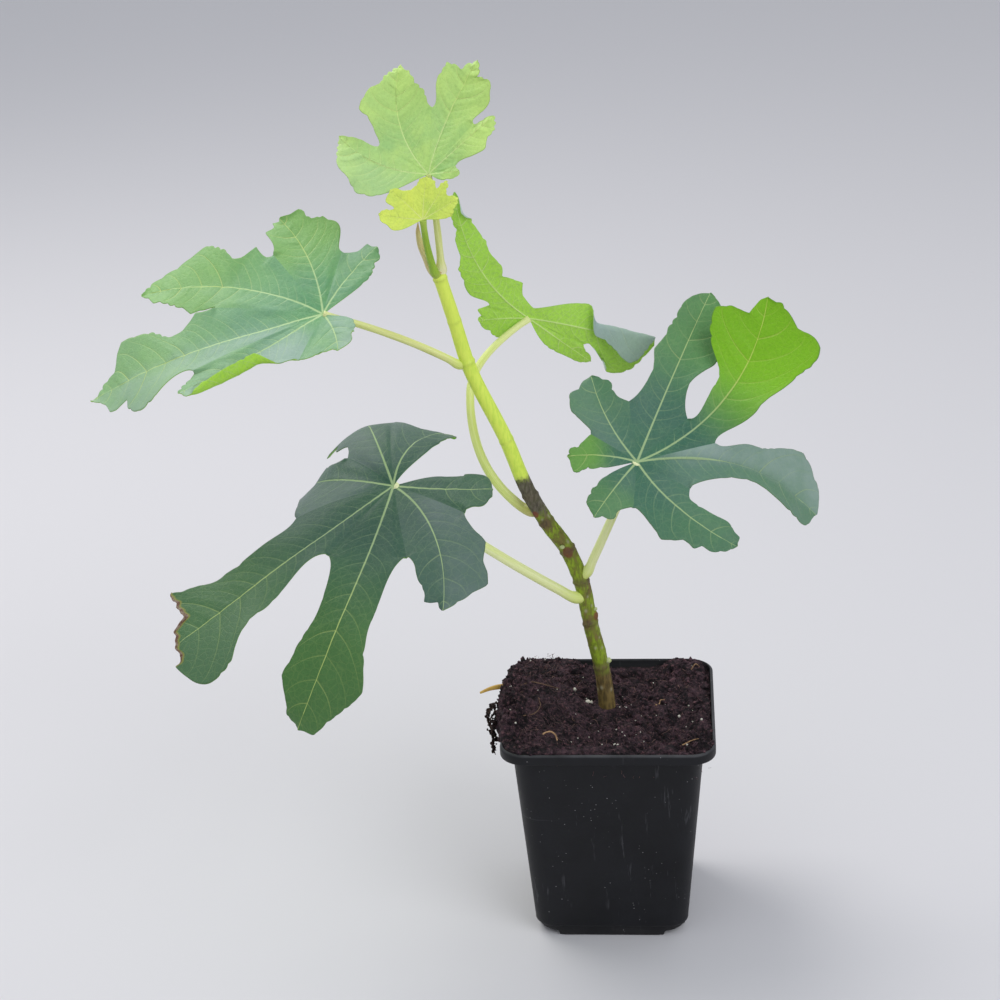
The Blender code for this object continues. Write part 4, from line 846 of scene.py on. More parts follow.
stem = dict(
    foot=(-1.2, 7.0, 92.0), footRadius=3.7, sink=4.0, around=48, step=0.5, seed=5,
    # each internode: length, lean to the left and to the front in degrees, radius at its end
    internodes=((5.0, 4.0, 0.0, 3.6), (14.5, 7.0, 0.0, 3.35), (21.0, 11.7, 0.0, 3.3), (19.6, 9.9, 0.0, 3.4),
                (16.1, 20.1, 1.9, 3.3), (15.6, 32.7, 2.2, 3.3), (13.5, 28.1, 0.0, 3.2), (26.7, 19.8, 2.3, 3.0),
                (37.6, 22.8, 1.7, 2.95), (18.5, 13.8, 3.2, 2.8), (20.0, 14.7, 2.8, 2.7)),
    # rings round the stem: distance along it, height; those of the green stem are faint
    rings=((19.5, 0.30), (40.5, 0.38), (60.1, 0.42), (76.2, 0.34), (91.8, 0.26), (105.3, 0.30), (132.0, 0.16),
           (169.6, 0.34), (188.1, 0.14), (207.0, 0.30)),
    barkEnd=118.0, barkBlend=14.0, faintFrom=125.0,
    # scars: distance along, side in degrees from the left over the front, half length, height
    scars=((43.6, 158.0, 2.0, 0.9), (76.0, 95.0, 2.5, 0.5), (97.5, 60.0, 1.6, 0.3)),
    # side buds: distance along, side (0 is left, 90 front, 180 right), radius; and how far out they sit
    buds=((79.6, 84.0, 0.95), (21.5, 168.0, 1.25), (46.8, 160.0, 0.8)), budOut=3.6,
    pores=46, poreHeight=0.14, surface=3.3,
)
sheath = dict(
    start=2.3, around=36, steps=90,
    parts=((3.6, 46.0, -14.0, 2.0), (4.9, 26.0, -4.0, 1.7), (6.0, 22.0, 0.0, 1.35), (6.0, 8.0, 0.0, 0.9),
           (3.6, -4.0, 0.0, 0.12)),
    tones=((0.74, 0.66, 0.30), (0.60, 0.48, 0.17), (0.60, 0.42, 0.20), (0.50, 0.30, 0.12)))


def walk(foot, internodes, radius):
    # points and radii at the ends of internodes that each have a length and a lean
    here = np.array(foot, float)
    stops = [here]
    radii = [radius]
    for length, left, front, end in internodes:
        way = np.array([-math.tan(math.radians(left)), -math.tan(math.radians(front)), 1.0])
        here = here + way / np.linalg.norm(way) * length
        stops.append(here)
        radii.append(end)
    return np.array(stops), np.array(radii)


stemStops, stemRadii = walk(stem["foot"], stem["internodes"], stem["footRadius"])


def stemMaterial():
    # bark below and smooth green above, by the distance along the stem in the map's second value
    material, place = newMaterial("stemBark")
    along = readMap(place, "uvStem").parts()[1]
    streak = place.grain(900.0, 5.0, 0.62, (1.0, 1.0, 0.22))
    blotch = place.grain(210.0, 5.0, 0.66, (1.0, 1.0, 0.7))
    fine = place.grain(2600.0, 3.0, 0.6)
    pores, scars, rings = readAttribute(place, "marks").parts()
    green = mix(streak.ramp(0.38, 0.62), (0.30, 0.42, 0.016), (0.17, 0.21, 0.012))
    bark = mix(streak.ramp(0.38, 0.62), (0.085, 0.046, 0.018), (0.22, 0.145, 0.042))
    # green shows between brown stretches: the brown share follows the rings and blotches, and the foot is brown
    brown = (rings * 0.45).calc("ADD", blotch.ramp(0.45, 0.66, 0.0, 0.8), clamp=True)
    brown = brown.calc("MAXIMUM", along.ramp(15.0, 20.0, 0.95, 0.0))
    fresh = mix(streak.ramp(0.4, 0.62, 0.0, 0.7), (0.74, 0.90, 0.11), (0.56, 0.78, 0.07))
    fresh = mix(along.ramp(150.0, 205.0, 0.0, 0.5), fresh, (0.78, 0.90, 0.12))
    # the bark's upper end wanders with the blotches, under it lies a dull band
    edge = along + blotch * 14.0
    young = edge.ramp(119.0, 123.0)
    band = edge.ramp(101.0, 106.0) * edge.ramp(119.0, 124.0, 1.0, 0.0)
    dull = mix(streak.ramp(0.4, 0.6), (0.062, 0.046, 0.036), (0.15, 0.125, 0.10))
    colour = coated(mix(young, mix(brown, green, bark), fresh), (band * 0.92, dull), (scars, (0.21, 0.045, 0.02)),
                    (pores * 0.8, (0.48, 0.44, 0.30)),
                    (rings * blotch.ramp(0.3, 0.6, 0.15, 0.6), (0.10, 0.075, 0.035)))
    rough = young.ramp(0.0, 1.0, 0.62, 0.36) + fine * 0.12
    height = streak * young.ramp(0.0, 1.0, 1.0, 0.2) + fine * 0.12
    return finish(material, colour, rough, height, 0.0005, 0.7)


def farFrom(grid, angle, place, side, long, wide):
    # distance on the bark from a mark, in its own half lengths along and half widths round the stem
    off = (angle - side + math.pi) % (2 * math.pi) - math.pi
    return np.hypot((grid - place) / long, off * stem["surface"] / wide)


def makeStem():
    # a tube with rings at the nodes, raised leaf scars, bark grain and pores, all added to its radius
    line, s, at = curveThrough(stemStops, int(sum(one[0] for one in stem["internodes"]) / stem["step"]))
    low = line[0] - np.array([0.0, 0.0, stem["sink"]])
    dome = line[-1] + (line[-1] - line[-2]) * np.array([[0.8], [1.4], [1.7]])
    line = np.concatenate([low[None], line, dome])
    s = np.concatenate([[-stem["sink"]], s, s[-1] + np.array([0.4, 0.7, 0.85])])
    # past the last stop the radius falls as a circle's height does
    base = np.interp(s, at, stemRadii)
    base = base * np.where(s > at[-1], np.sqrt(np.clip(1.0 - ((s - at[-1]) / 0.9) ** 2, 0.05, 1.0)), 1.0)
    grid, angle = np.meshgrid(s, turns(stem["around"]), indexing="ij")
    spot = np.stack([3.2 * np.cos(angle), 3.2 * np.sin(angle), grid], -1)
    old = ease((stem["barkEnd"] - grid) / stem["barkBlend"])
    radius = base[:, None] + old * (0.20 * layered(spot * [1, 1, 0.35], 2.4, 3) + 0.10 * cloud(spot, 0.9, 9))
    radius = radius + (1 - old) * 0.06 * cloud(spot * [1, 1, 0.3], 2.0, 4)
    pores, scars, rings = np.zeros((3, *grid.shape))
    for place, height in stem["rings"]:
        wander = grid + 0.35 * np.sin(angle + place)
        radius = radius + height * bell(wander, place, 0.8) - 0.3 * height * bell(wander, place + 1.9, 1.1)
        width, force = (0.6, 0.4) if place > stem["faintFrom"] else (2.2, 1.0)
        rings = np.maximum(rings, force * bell(wander, place, width))
    for place, side, size, height in stem["scars"]:
        far = farFrom(grid, angle, place, math.radians(side), size, 0.9 * size)
        radius = radius + height * ease(1.4 - far) - 0.5 * height * ease((0.55 - far) / 0.3)
        scars = np.maximum(scars, 0.85 * ease((1.15 - far) / 0.35))
    dice = np.random.default_rng(stem["seed"])
    spans = (3, 116), (0, 2 * math.pi), (0.3, 0.62)
    for place, side, size in zip(*(dice.uniform(*span, stem["pores"]) for span in spans)):
        spread = bell(farFrom(grid, angle, place, side, 1.3 * size, size), 0.0, 1.0)
        radius = radius + stem["poreHeight"] * spread
        pores = np.maximum(pores, spread)
    addTube("stem", line, radius, s, stemMaterial(), "trunk", ["trunk"], "uvStem",
            marks=np.stack([pores, scars, rings], -1))


makeStem()
print("stem made")


def tissueMaterial(name, tones, rough=0.42):
    # pale green shoot: lengthwise streaks, a darker foot, small pale dots; tones are (main, streak, foot, tip)
    material, place = newMaterial(name)
    spot = readMap(place, "uvAlong")
    share = spot.parts()[1]
    streak = spot.grain(26.0, 4.0, 0.6, (1.0, 0.12, 1.0))
    fine = place.grain(1500.0, 3.0, 0.6)
    main, second, foot, tip = tones
    colour = coated(mix(streak.ramp(0.38, 0.66), main, second), (share.ramp(0.0, 0.16, 0.85, 0.0), foot),
                    (share.ramp(0.72, 1.0, 0.0, 0.7), tip),
                    (place.cells(850.0).ramp(0.0, 0.22, 0.35, 0.0), (0.66, 0.66, 0.42)))
    return finish(material, colour, fine * 0.14 + (rough - 0.07), streak * 0.7 + fine * 0.2, 0.0003, 0.6)


paleTones = ((0.90, 0.93, 0.50), (0.82, 0.88, 0.34), (0.72, 0.82, 0.20), (0.90, 0.93, 0.56))
stalks = {
    # foot: distance along the stem where the stalk leaves it
    "stalkLeftLower": dict(nodes=["stalk_left_lower"], leaf="leafLeftLower", radii=(2.25, 1.85), tones=paleTones,
                           points=((-14.3, 4.4, 145.0), (-47.0, -4.0, 168.0)), swell=0.5, foot=52.0),
    "stalkRight": dict(nodes=["stalk_right"], leaf="leafRight", radii=(1.95, 1.65), tones=paleTones,
                       points=((-7.6, 6.0, 157.2), (2.8, 3.0, 182.0)), swell=0.6, foot=61.5),
    "stalkBack": dict(nodes=["stalk_back_lower", "stalk_back_upper"], leaf="leafBack", radii=(2.15, 1.35),
                      tones=((0.86, 0.92, 0.36), (0.72, 0.82, 0.20), (0.50, 0.44, 0.13), (0.86, 0.91, 0.42)),
                      points=((-34.2, 9.0, 184.2), (-56.8, 12.0, 200.0), (-56.4, 26.0, 229.7), (-56.2, 32.0, 243.0)),
                      swell=0.6, foot=96.0),
    "stalkLeftUpper": dict(nodes=["stalk_left_upper"], leaf="leafLeftUpper", radii=(1.65, 1.35),
                           tones=((0.80, 0.84, 0.33), (0.68, 0.70, 0.22), (0.66, 0.78, 0.15), (0.74, 0.78, 0.38)),
                           points=((-58.1, 3.0, 250.4), (-81.3, 0.0, 265.0)), swell=0.45, foot=168.5),
    "stalkTop": dict(nodes=["stalk_top"], leaf="leafTop", radii=(1.55, 1.1),
                     tones=((0.76, 0.78, 0.34), (0.60, 0.64, 0.18), (0.84, 0.78, 0.52), (0.64, 0.74, 0.24)),
                     points=((-63.6, 3.2, 290.5), (-64.0, 5.0, 308.0)), swell=0.8, foot=207.0),
    "stalkYoung": dict(nodes=["stalk_young"], leaf="leafYoung", radii=(1.6, 1.15),
                       tones=((0.32, 0.50, 0.03), (0.24, 0.42, 0.02), (0.40, 0.48, 0.08), (0.46, 0.62, 0.08)),
                       points=((-66.0, 0.2, 290.5), (-68.6, -3.2, 302.0)), swell=0.3, foot=206.5),
}
# how far in the stem a stalk begins, and the swellings at its foot and where the main veins spread
stalkRule = dict(around=28, steps=90, inStem=0.7, footAt=2.5, footSpread=2.6, headSwell=0.22, headSpread=2.4)


def quadratic(first, corner, last, count):
    # the curve that starts toward the corner and ends coming from it
    t = np.linspace(0.0, 1.0, count)[:, None]
    return (1 - t) ** 2 * first + 2 * t * (1 - t) * corner + t ** 2 * last


def makeStalk(name, spec):
    # a tube from inside the bark to the leaf, swollen at its foot and widening where the main veins spread
    rule = stalkRule
    leaf = leaves[spec["leaf"]]
    last = np.array(leaf["stalkEnd"]) - leafAxes(leaf)[:, 2] * 0.15
    points = np.array(spec["points"])
    if len(points) == 4:
        lower = quadratic(*points[:3], 60)
        upper = quadratic(*points[2:], last, 40)
        line = curveThrough(np.concatenate([lower[::6], upper[4::6], last[None]]), 120)[0]
    else:
        line = quadratic(*points, last, rule["steps"])
    # the foot reaches into the stem
    stemLine, stemAt = curveThrough(stemStops, 600)[:2]
    foot = np.array([np.interp(spec["foot"], stemAt, stemLine[:, axis]) for axis in range(3)])
    foot = foot * rule["inStem"] + line[0] * (1.0 - rule["inStem"])
    line = curveThrough(np.concatenate([foot[None], line[::8], line[-1:]]), rule["steps"])[0]
    s = lengths(line)
    share = s / s[-1]
    r0, r1 = spec["radii"]
    turn = turns(rule["around"])
    radius = r0 + (r1 - r0) * share + spec["swell"] * bell(s, rule["footAt"], rule["footSpread"])
    radius = radius + rule["headSwell"] * r1 * bell(s, s[-1], rule["headSpread"])
    spot = np.stack(np.broadcast_arrays(2.0 * np.cos(turn), 2.0 * np.sin(turn), s[:, None] * 0.2), -1)
    radius = radius[:, None] * (1.0 + 0.03 * np.cos(2 * turn + 1.0)) + 0.06 * cloud(spot, 1.1, leaf["seed"])
    addTube(name, line, radius, share, tissueMaterial(name + "Skin", spec["tones"]), spec["nodes"][0], spec["nodes"])


for name, spec in stalks.items():
    makeStalk(name, spec)


def makeBud():
    # the folded sheath round the growing tip: a tube with lengthwise folds that narrows to a point
    stops, radii = walk(stemStops[-1], sheath["parts"], sheath["start"])
    line, s, at = curveThrough(stops, sheath["steps"])
    turn, along = turns(sheath["around"]), s[:, None]
    fold = 1.0 + 0.10 * np.cos(3 * turn + along * 0.16) + 0.05 * np.cos(7 * turn - along * 0.3)
    addTube("budSheath", line, np.interp(s, at, radii)[:, None] * fold, s / s[-1],
            tissueMaterial("budSkin", sheath["tones"], 0.5), "trunk")


makeBud()
print("stalks and bud made")


# Pot

pot = dict(rimHalf=45.0, rimCorner=11.0, rimRound=1.2, rimWidth=1.1, height=95.7, lipDrop=4.6, shell=1.0,
           shelf=92.0, neckHalf=40.0, neckCorner=9.0, wallCorner=8.0, ledgeHalf=33.0, ledgeHeight=5.5,
           footHalf=31.9, footCorner=12.0, footRound=0.9, floor=1.4, notchHeight=2.3, notchStart=22.4, around=248,
           flatShare=0.62)


def roundSquare(half, corner, count):
    # a square with round corners, counterclockwise from above, points at equal shares of each side and corner
    t = np.arange(count) / count * 4
    side = np.floor(t).astype(int)
    u = t - side
    flat = pot["flatShare"] / 2
    straight = half - corner
    turn = np.clip((u - flat) / (1 - 2 * flat), 0.0, 1.0) * math.pi / 2
    # in the frame of a side that faces +X, from its middle to the middle of the next side
    x = np.where(u > 1 - flat, straight * (1 - u) / flat, straight + corner * np.cos(turn))
    y = np.where(u < flat, straight * u / flat, straight + corner * np.sin(turn))
    c = np.array([1, 0, -1, 0])[side]
    d = np.array([0, 1, 0, -1])[side]
    return np.stack([x * c - y * d, x * d + y * c], -1)


def wallHalf(z):
    # half the wall's width, which grows evenly from the ledge to the lip
    share = (z - pot["ledgeHeight"]) / (pot["height"] - pot["lipDrop"] - pot["ledgeHeight"])
    return pot["ledgeHalf"] + (pot["neckHalf"] - pot["ledgeHalf"]) * share


def potProfile():
    # stations (half width, corner, height) up the outside, round the lip and down the inside
    p = pot
    top, foot, footCorner, footRound = p["height"], p["footHalf"], p["footCorner"], p["footRound"]
    low, ledge, ledgeHalf, wallCorner = top - p["lipDrop"], p["ledgeHeight"], p["ledgeHalf"], p["wallCorner"]
    rim, corner, shelf, neck, neckCorner = p["rimHalf"], p["rimCorner"], p["shelf"], p["neckHalf"], p["neckCorner"]
    inner, edge = rim - p["rimWidth"], p["rimRound"]
    return [
        (8.0, 4.0, footRound), (foot - 9.0, footCorner - 4, footRound), (foot - 8.4, footCorner - 4, 0.0),
        *((foot - footRound * (1 - math.sin(a)), footCorner, footRound * (1 - math.cos(a)))
          for a in np.linspace(0.2, math.pi / 2, 5)),
        *((foot + 0.05 + 0.05 * z, footCorner - 0.25 * z, z) for z in (1.6, 2.4, 3.2, 4.0, 4.7)),
        (ledgeHalf - 0.35, wallCorner + 1.2, ledge - 0.25), (ledgeHalf - 0.05, wallCorner + 0.3, ledge + 0.1),
        (ledgeHalf + 0.1, wallCorner, ledge + 0.6),
        *((wallHalf(z), wallCorner + (neckCorner - wallCorner) * (z - ledge) / (low - ledge), z)
          for z in np.linspace(ledge + 2.0, low - 2.0, 34)),
        (neck + 0.05, neckCorner, low - 0.7), (neck + 0.3, neckCorner, low - 0.2),
        (neck + 0.9, neckCorner + 0.3, low - 0.05), (rim - 0.6, corner - 0.5, low - 0.02),
        (rim - 0.12, corner, low + 0.12), (rim, corner, low + 0.5), (rim + 0.02, corner, low + 2.0),
        *((rim - edge * (1 - math.cos(a)), corner - edge * (1 - math.cos(a)), top - edge * (1 - math.sin(a)))
          for a in np.linspace(0.0, math.pi / 2, 8)),
        (inner, corner - 1.4, top - 0.12), (inner - 0.25, corner - 1.6, top - 0.6),
        (inner - 0.35, corner - 1.7, shelf + 0.5), (inner - 0.8, corner - 2.0, shelf),
        *((wallHalf(z) - p["shell"], wallCorner - p["shell"], z) for z in np.linspace(shelf - 0.4, ledge + 1.0, 16)),
        (foot - 1.2, footCorner - 2, 4.6), (foot - 1.8, footCorner - 2, p["floor"] + 1.2),
        (8.0, 4.0, p["floor"] + 1.0)]


def potMaterial():
    # black moulded plastic: faint mottling, a lighter top of the lip that is dust and wear together with a painted
    # highlight, fine scratches and specks
    material, place = newMaterial("potPlastic")
    z = place.parts()[2]
    haze = place.grain(45.0, 5.0, 0.62)
    fine = place.grain(1400.0, 3.0, 0.6)
    scratch = place.grain(420.0, 3.0, 0.6, (1.0, 1.0, 0.09)).ramp(0.60, 0.68)
    scuffed = place.grain(34.0, 2.0, 0.5).ramp(0.50, 0.58)
    lines = (scratch * scuffed).calc("MAXIMUM", place.grain(260.0, 2.0, 0.5, (0.06, 0.06, 1.0)).ramp(0.73, 0.80))
    specks = place.cells(420.0).ramp(0.03, 0.11, 1.0, 0.0) * place.grain(60.0, 2.0, 0.5).ramp(0.50, 0.60)
    # the top of the lip is lighter: dust and wear together with a painted highlight
    lipDustAndHighlight = z.ramp(0.0946, 0.0955) * haze.ramp(0.3, 0.7, 0.35, 1.0)
    foot = z.ramp(0.0, 0.007, 1.0, 0.0) * haze.ramp(0.3, 0.7, 0.2, 0.9)
    colour = coated(mix(haze.ramp(0.3, 0.75), (0.0038, 0.0040, 0.0055), (0.0085, 0.009, 0.0115)),
                    (lines * 0.35, (0.09, 0.09, 0.10)), (specks * 0.75, (0.42, 0.41, 0.42)),
                    (lipDustAndHighlight * 0.55, (0.13, 0.13, 0.14)), (foot * 0.3, (0.07, 0.065, 0.06)))
    rough = haze.ramp(0.3, 0.7, 0.36, 0.5) + fine * 0.12 + lipDustAndHighlight * 0.15
    return finish(material, colour, rough, fine * 0.25 + haze * 0.5 - lines * 0.3, 0.0002, 0.5,
                  **{"Specular IOR Level": 0.27})


def makePot():
    # the profile's stations as rounded squares; toward the four corners of the foot the rings are lifted, as drains
    rings = []
    for half, corner, z in potProfile():
        flat = roundSquare(half, corner, pot["around"])
        lifted = max(0.0, pot["notchHeight"] - z) if half < pot["rimHalf"] - 8 else 0.0
        cut = ease((np.abs(flat).min(1) - pot["notchStart"]) / 0.5)
        rings.append(np.concatenate([flat, (z + cut * lifted)[:, None]], 1))
    rings = np.array(rings)
    addRings("potShell", rings, rings[0].mean(0), rings[-1].mean(0), potMaterial(), "pot")


makePot()
print("pot made")


# Compost

compost = dict(level=91.3, frontRise=1.6, heapRise=10.6, heapStart=6.0, heapReach=26.0, brimRise=2.7,
               hangOut=3.0, hangSpan=32.0, hangEdge=8.0, rollFrom=0.93, around=460, rows=190, crumbs=3600, seed=91)
# lumps of the top as (height, size, seed)
soilLumps = ((1.4, 9.0, 1), (1.5, 4.3, 2), (1.15, 2.2, 3), (0.7, 1.1, 4))


def soilHeight(x, y):
    # level at the right and back, rising to the front and heaped at the left, with lumps of four sizes
    c = compost
    heap = c["heapRise"] * ease((-x - c["heapStart"]) / c["heapReach"]) * (0.62 + 0.38 * ease((y + 30) / 40))
    # the brim rises all round but behind the stem, the back left sinks, and a clod lies in the back right corner
    far = np.maximum(np.abs(x), np.abs(y))
    brim = ease((far - 30.0) / 11.0) * (1.0 - bell(x, 6.0, 17.0) * ease((y - 20) / 10))
    heap = heap + c["brimRise"] * brim - 4.0 * ease((y - 34) / 9) * ease((-x - 10) / 20)
    heap = heap + 4.5 * bell(np.hypot(x - 34, y - 38), 0.0, 9.0)
    z = c["level"] + heap + c["frontRise"] * ease((-y - 5) / 30) - 1.2 * bell(y, 34.0, 12.0) * ease((x + 12) / 14)
    spot = np.stack([x, y, 0.0 * x], -1)
    lumps = sum(height * cloud(spot, size, seed) for height, size, seed in soilLumps)
    lumps = lumps + 0.8 * np.abs(cloud(spot, 3.1, 5)) + 0.25 * cloud(spot, 0.6, 6)
    # smoother near the stem, which stands on a low mound with a hollow beside it
    x, y = x - stem["foot"][0], y - stem["foot"][1]
    near, hollow = np.hypot(x, y), np.hypot(x - 7.0, y - 3.0)
    z = z + 0.8 * bell(near, 0.0, 6.0) - 2.6 * bell(hollow, 0.0, 4.5)
    return z + lumps * (0.3 + 0.7 * ease((near - 4.0) / 7.0))


def soilEdge():
    # the inside of the pot's mouth, carried out over the lip at the left
    throat = pot["rimHalf"] - pot["rimWidth"] - 0.45
    edge = roundSquare(throat, pot["rimCorner"] - 1.8, compost["around"])
    x, y = edge.T
    over = ease((compost["hangSpan"] - np.abs(y + 4.0)) / compost["hangEdge"]) * (x < -0.74 * throat)
    ragged = 1.0 + 0.22 * np.sin(y / 3.1) + 0.16 * np.sin(y / 1.3 + 1.0)
    reach = compost["hangOut"] * (0.15 + 0.85 * bell(y, -5.0, 16.0))
    return edge, np.stack([x - over * (pot["rimHalf"] - throat + reach * ragged), y], -1), over


def soilPoint(k, share, out, over):
    # a point of the top between the stem (share 0) and edge point k (share 1), rounded down past the lip
    centre = np.array(stem["foot"][:2])
    start = compost["rollFrom"]
    roll = np.clip((share - start) / (1.0 - start), 0.0, 1.0) * math.pi / 2
    reach = np.where(roll > 0, start + (1.0 - start) * np.sin(roll), share)
    flat = centre + (out[k] - centre) * reach[..., None]
    top = soilHeight(flat[..., 0], flat[..., 1])
    y = out[k][..., 1]
    low = pot["height"] - 3.2 + 1.3 * np.sin(y / 2.7) - 2.5 * bell(y, -8.0, 9.0)
    hang = top - (top - low) * (1.0 - np.cos(roll))
    dip = np.minimum(top - 0.8 * (1.0 - np.cos(roll)), pot["height"] + 0.6)
    return np.concatenate([flat, (dip + (hang - dip) * over[k])[..., None]], -1)


def soilMaterial(name, low, high):
    # dark peat: black-brown to purple-red brown in patches of several sizes, dull and rough; the near-black patches are
    # painted shade in the crevices between clumps
    material, place = newMaterial(name)
    wide, small, fine = place.grain(120.0, 6.0, 0.7), place.grain(650.0, 5.0, 0.7), place.grain(2400.0, 3.0, 0.65)
    warm = [tone * more for tone, more in zip(high, (2.5, 2.2, 1.9))]
    # near-black tone laid in patches of two sizes as painted crevice shade
    dark = (0.005, 0.004, 0.0048)
    colour = coated(mix(wide.ramp(0.40, 0.62), low, high), (small.ramp(0.52, 0.68, 0.0, 0.85), warm),
                    (small.ramp(0.36, 0.50, 0.9, 0.0), dark), (fine.ramp(0.30, 0.52, 0.7, 0.0), dark))
    return finish(material, colour, fine.ramp(0.3, 0.7, 0.8, 0.98), small + fine * 0.5, 0.0012, 1.0,
                  **{"Specular IOR Level": 0.25})


def makeSoil():
    # rings from the stem out to the edge and over the lip, then down inside the pot, closed below
    edge, out, over = soilEdge()
    around, height, shelf = compost["around"], pot["height"], pot["shelf"]
    share = 0.02 + 0.98 * (1.0 - (1.0 - np.linspace(0.0, 1.0, compost["rows"])) ** 1.15)
    top = soilPoint(np.arange(around)[None], share[:, None], out, over)
    # outside in for outward faces: the lining of the pot first, then the top from the edge to the stem
    lining = np.array([np.concatenate([edge * part, np.full((around, 1), z)], 1) for part, z in (
        (0.87, height - 13.0), (0.885, shelf + 0.12), (0.997, shelf + 0.15))])
    x, y = stem["foot"][:2]
    addRings("compostTop", np.concatenate([lining, top[::-1]]), np.array([x, y, height - 15.0]),
             np.array([x, y, top[0][:, 2].mean()]), soilMaterial("peat", (0.014, 0.0095, 0.013), (0.080, 0.045, 0.058)),
             "compost")


makeSoil()


def roundLump(cut=True):
    # a 42-point ball: the twenty-sided solid with each triangle cut in four, or left whole
    g = (1 + 5 ** 0.5) / 2
    points = [(-1, g, 0), (1, g, 0), (-1, -g, 0), (1, -g, 0), (0, -1, g), (0, 1, g), (0, -1, -g), (0, 1, -g),
              (g, 0, -1), (g, 0, 1), (-g, 0, -1), (-g, 0, 1)]
    faces = [(0, 11, 5), (0, 5, 1), (0, 1, 7), (0, 7, 10), (0, 10, 11), (1, 5, 9), (5, 11, 4), (11, 10, 2),
             (10, 7, 6), (7, 1, 8), (3, 9, 4), (3, 4, 2), (3, 2, 6), (3, 6, 8), (3, 8, 9), (4, 9, 5), (2, 4, 11),
             (6, 2, 10), (8, 6, 7), (9, 8, 1)]
    points = [np.array(p) / np.linalg.norm(p) for p in points]
    if not cut:
        return np.array(points), np.array(faces)
    middle = {}
    small = []
    for face in faces:
        mids = []
        for a, b in zip(face, face[1:] + face[:1]):
            key = (min(a, b), max(a, b))
            if key not in middle:
                middle[key] = len(points)
                mid = points[a] + points[b]
                points.append(mid / np.linalg.norm(mid))
            mids.append(middle[key])
        small += [(face[0], mids[0], mids[2]), (face[1], mids[1], mids[0]), (face[2], mids[2], mids[1]), tuple(mids)]
    return np.array(points), np.array(small)


def makeLumps(name, centres, radii, material, seed, uneven=0.28, squash=0.75, cut=True):
    # one ball per centre, each with its own random dents and stretch
    ball, faces = roundLump(cut)
    dice = np.random.default_rng(seed)
    count = len(centres)
    dents = 1.0 + uneven * dice.uniform(-1, 1, (count, len(ball)))
    stretch = dice.uniform(squash, 1.25, (count, 1, 3))
    points = centres[:, None] + ball[None] * dents[..., None] * stretch * radii[:, None, None]
    corners = (faces.ravel()[None] + np.arange(count)[:, None] * len(ball)).ravel()
    addMesh(name, points.reshape(-1, 3), corners, np.full(count * len(faces), 3), material)


def makeCrumbs():
    # crumbs lie over the whole top, most of them small, with some more along the heap and its hanging edge
    out, over = soilEdge()[1:]
    dice = np.random.default_rng(compost["seed"])
    count = compost["crumbs"]
    extra = count // 4
    k = dice.integers(0, compost["around"], count)
    share = np.sqrt(dice.uniform(0.02, 1.0, count))
    k[:extra] = dice.choice(np.where(over > 0.5)[0], extra)
    share[:extra] = dice.uniform(0.8, 1.0, extra)
    radii = 0.26 + 1.15 * dice.uniform(0, 1, count) ** 3.4
    centres = soilPoint(k, share, out, over) + np.array([0.0, 0.0, 0.1])
    makeLumps("compostCrumbs", centres, radii, soilMaterial("peatCrumb", (0.020, 0.013, 0.018), (0.105, 0.058, 0.074)),
              compost["seed"] + 1, 0.4, 0.55, False)


makeCrumbs()


def onSoil(flat, lift):
    # points over the compost's top, by (lift) higher than it
    return np.concatenate([flat, (soilHeight(flat[..., 0], flat[..., 1]) + lift)[..., None]], -1)


def fibreMaterial(name, low, high):
    # dry strands: one tone per strand from its own value, darker at random places
    material, place = newMaterial(name)
    fine = place.grain(900.0, 3.0, 0.6)
    colour = mix(readAttribute(place, "strand", "Fac"), low, high)
    colour = mix(fine.ramp(0.42, 0.7, 0.0, 0.8), colour, mix(1.0, colour, (0.35, 0.3, 0.3), "MULTIPLY"))
    return finish(material, colour, fine.ramp(0.3, 0.7, 0.65, 0.9), fine, 0.0002, 0.6)


def addStrands(name, lines, radii, around, hint, tones, material):
    # many thin tubes in one piece, with one tone each
    points, corners, sizes = tubes(lines, radii[..., None], around, hint)
    tone = np.repeat(tones, len(points) // len(lines))
    addMesh(name, points, corners, sizes, material, cornerData={"strand": tone[corners]})


fibre = dict(count=620, steps=7, shortest=1.2, more=6.0, bend=1.1, arc=0.9, thin=0.05, thick=0.14, edge=36.5, dip=12.0)


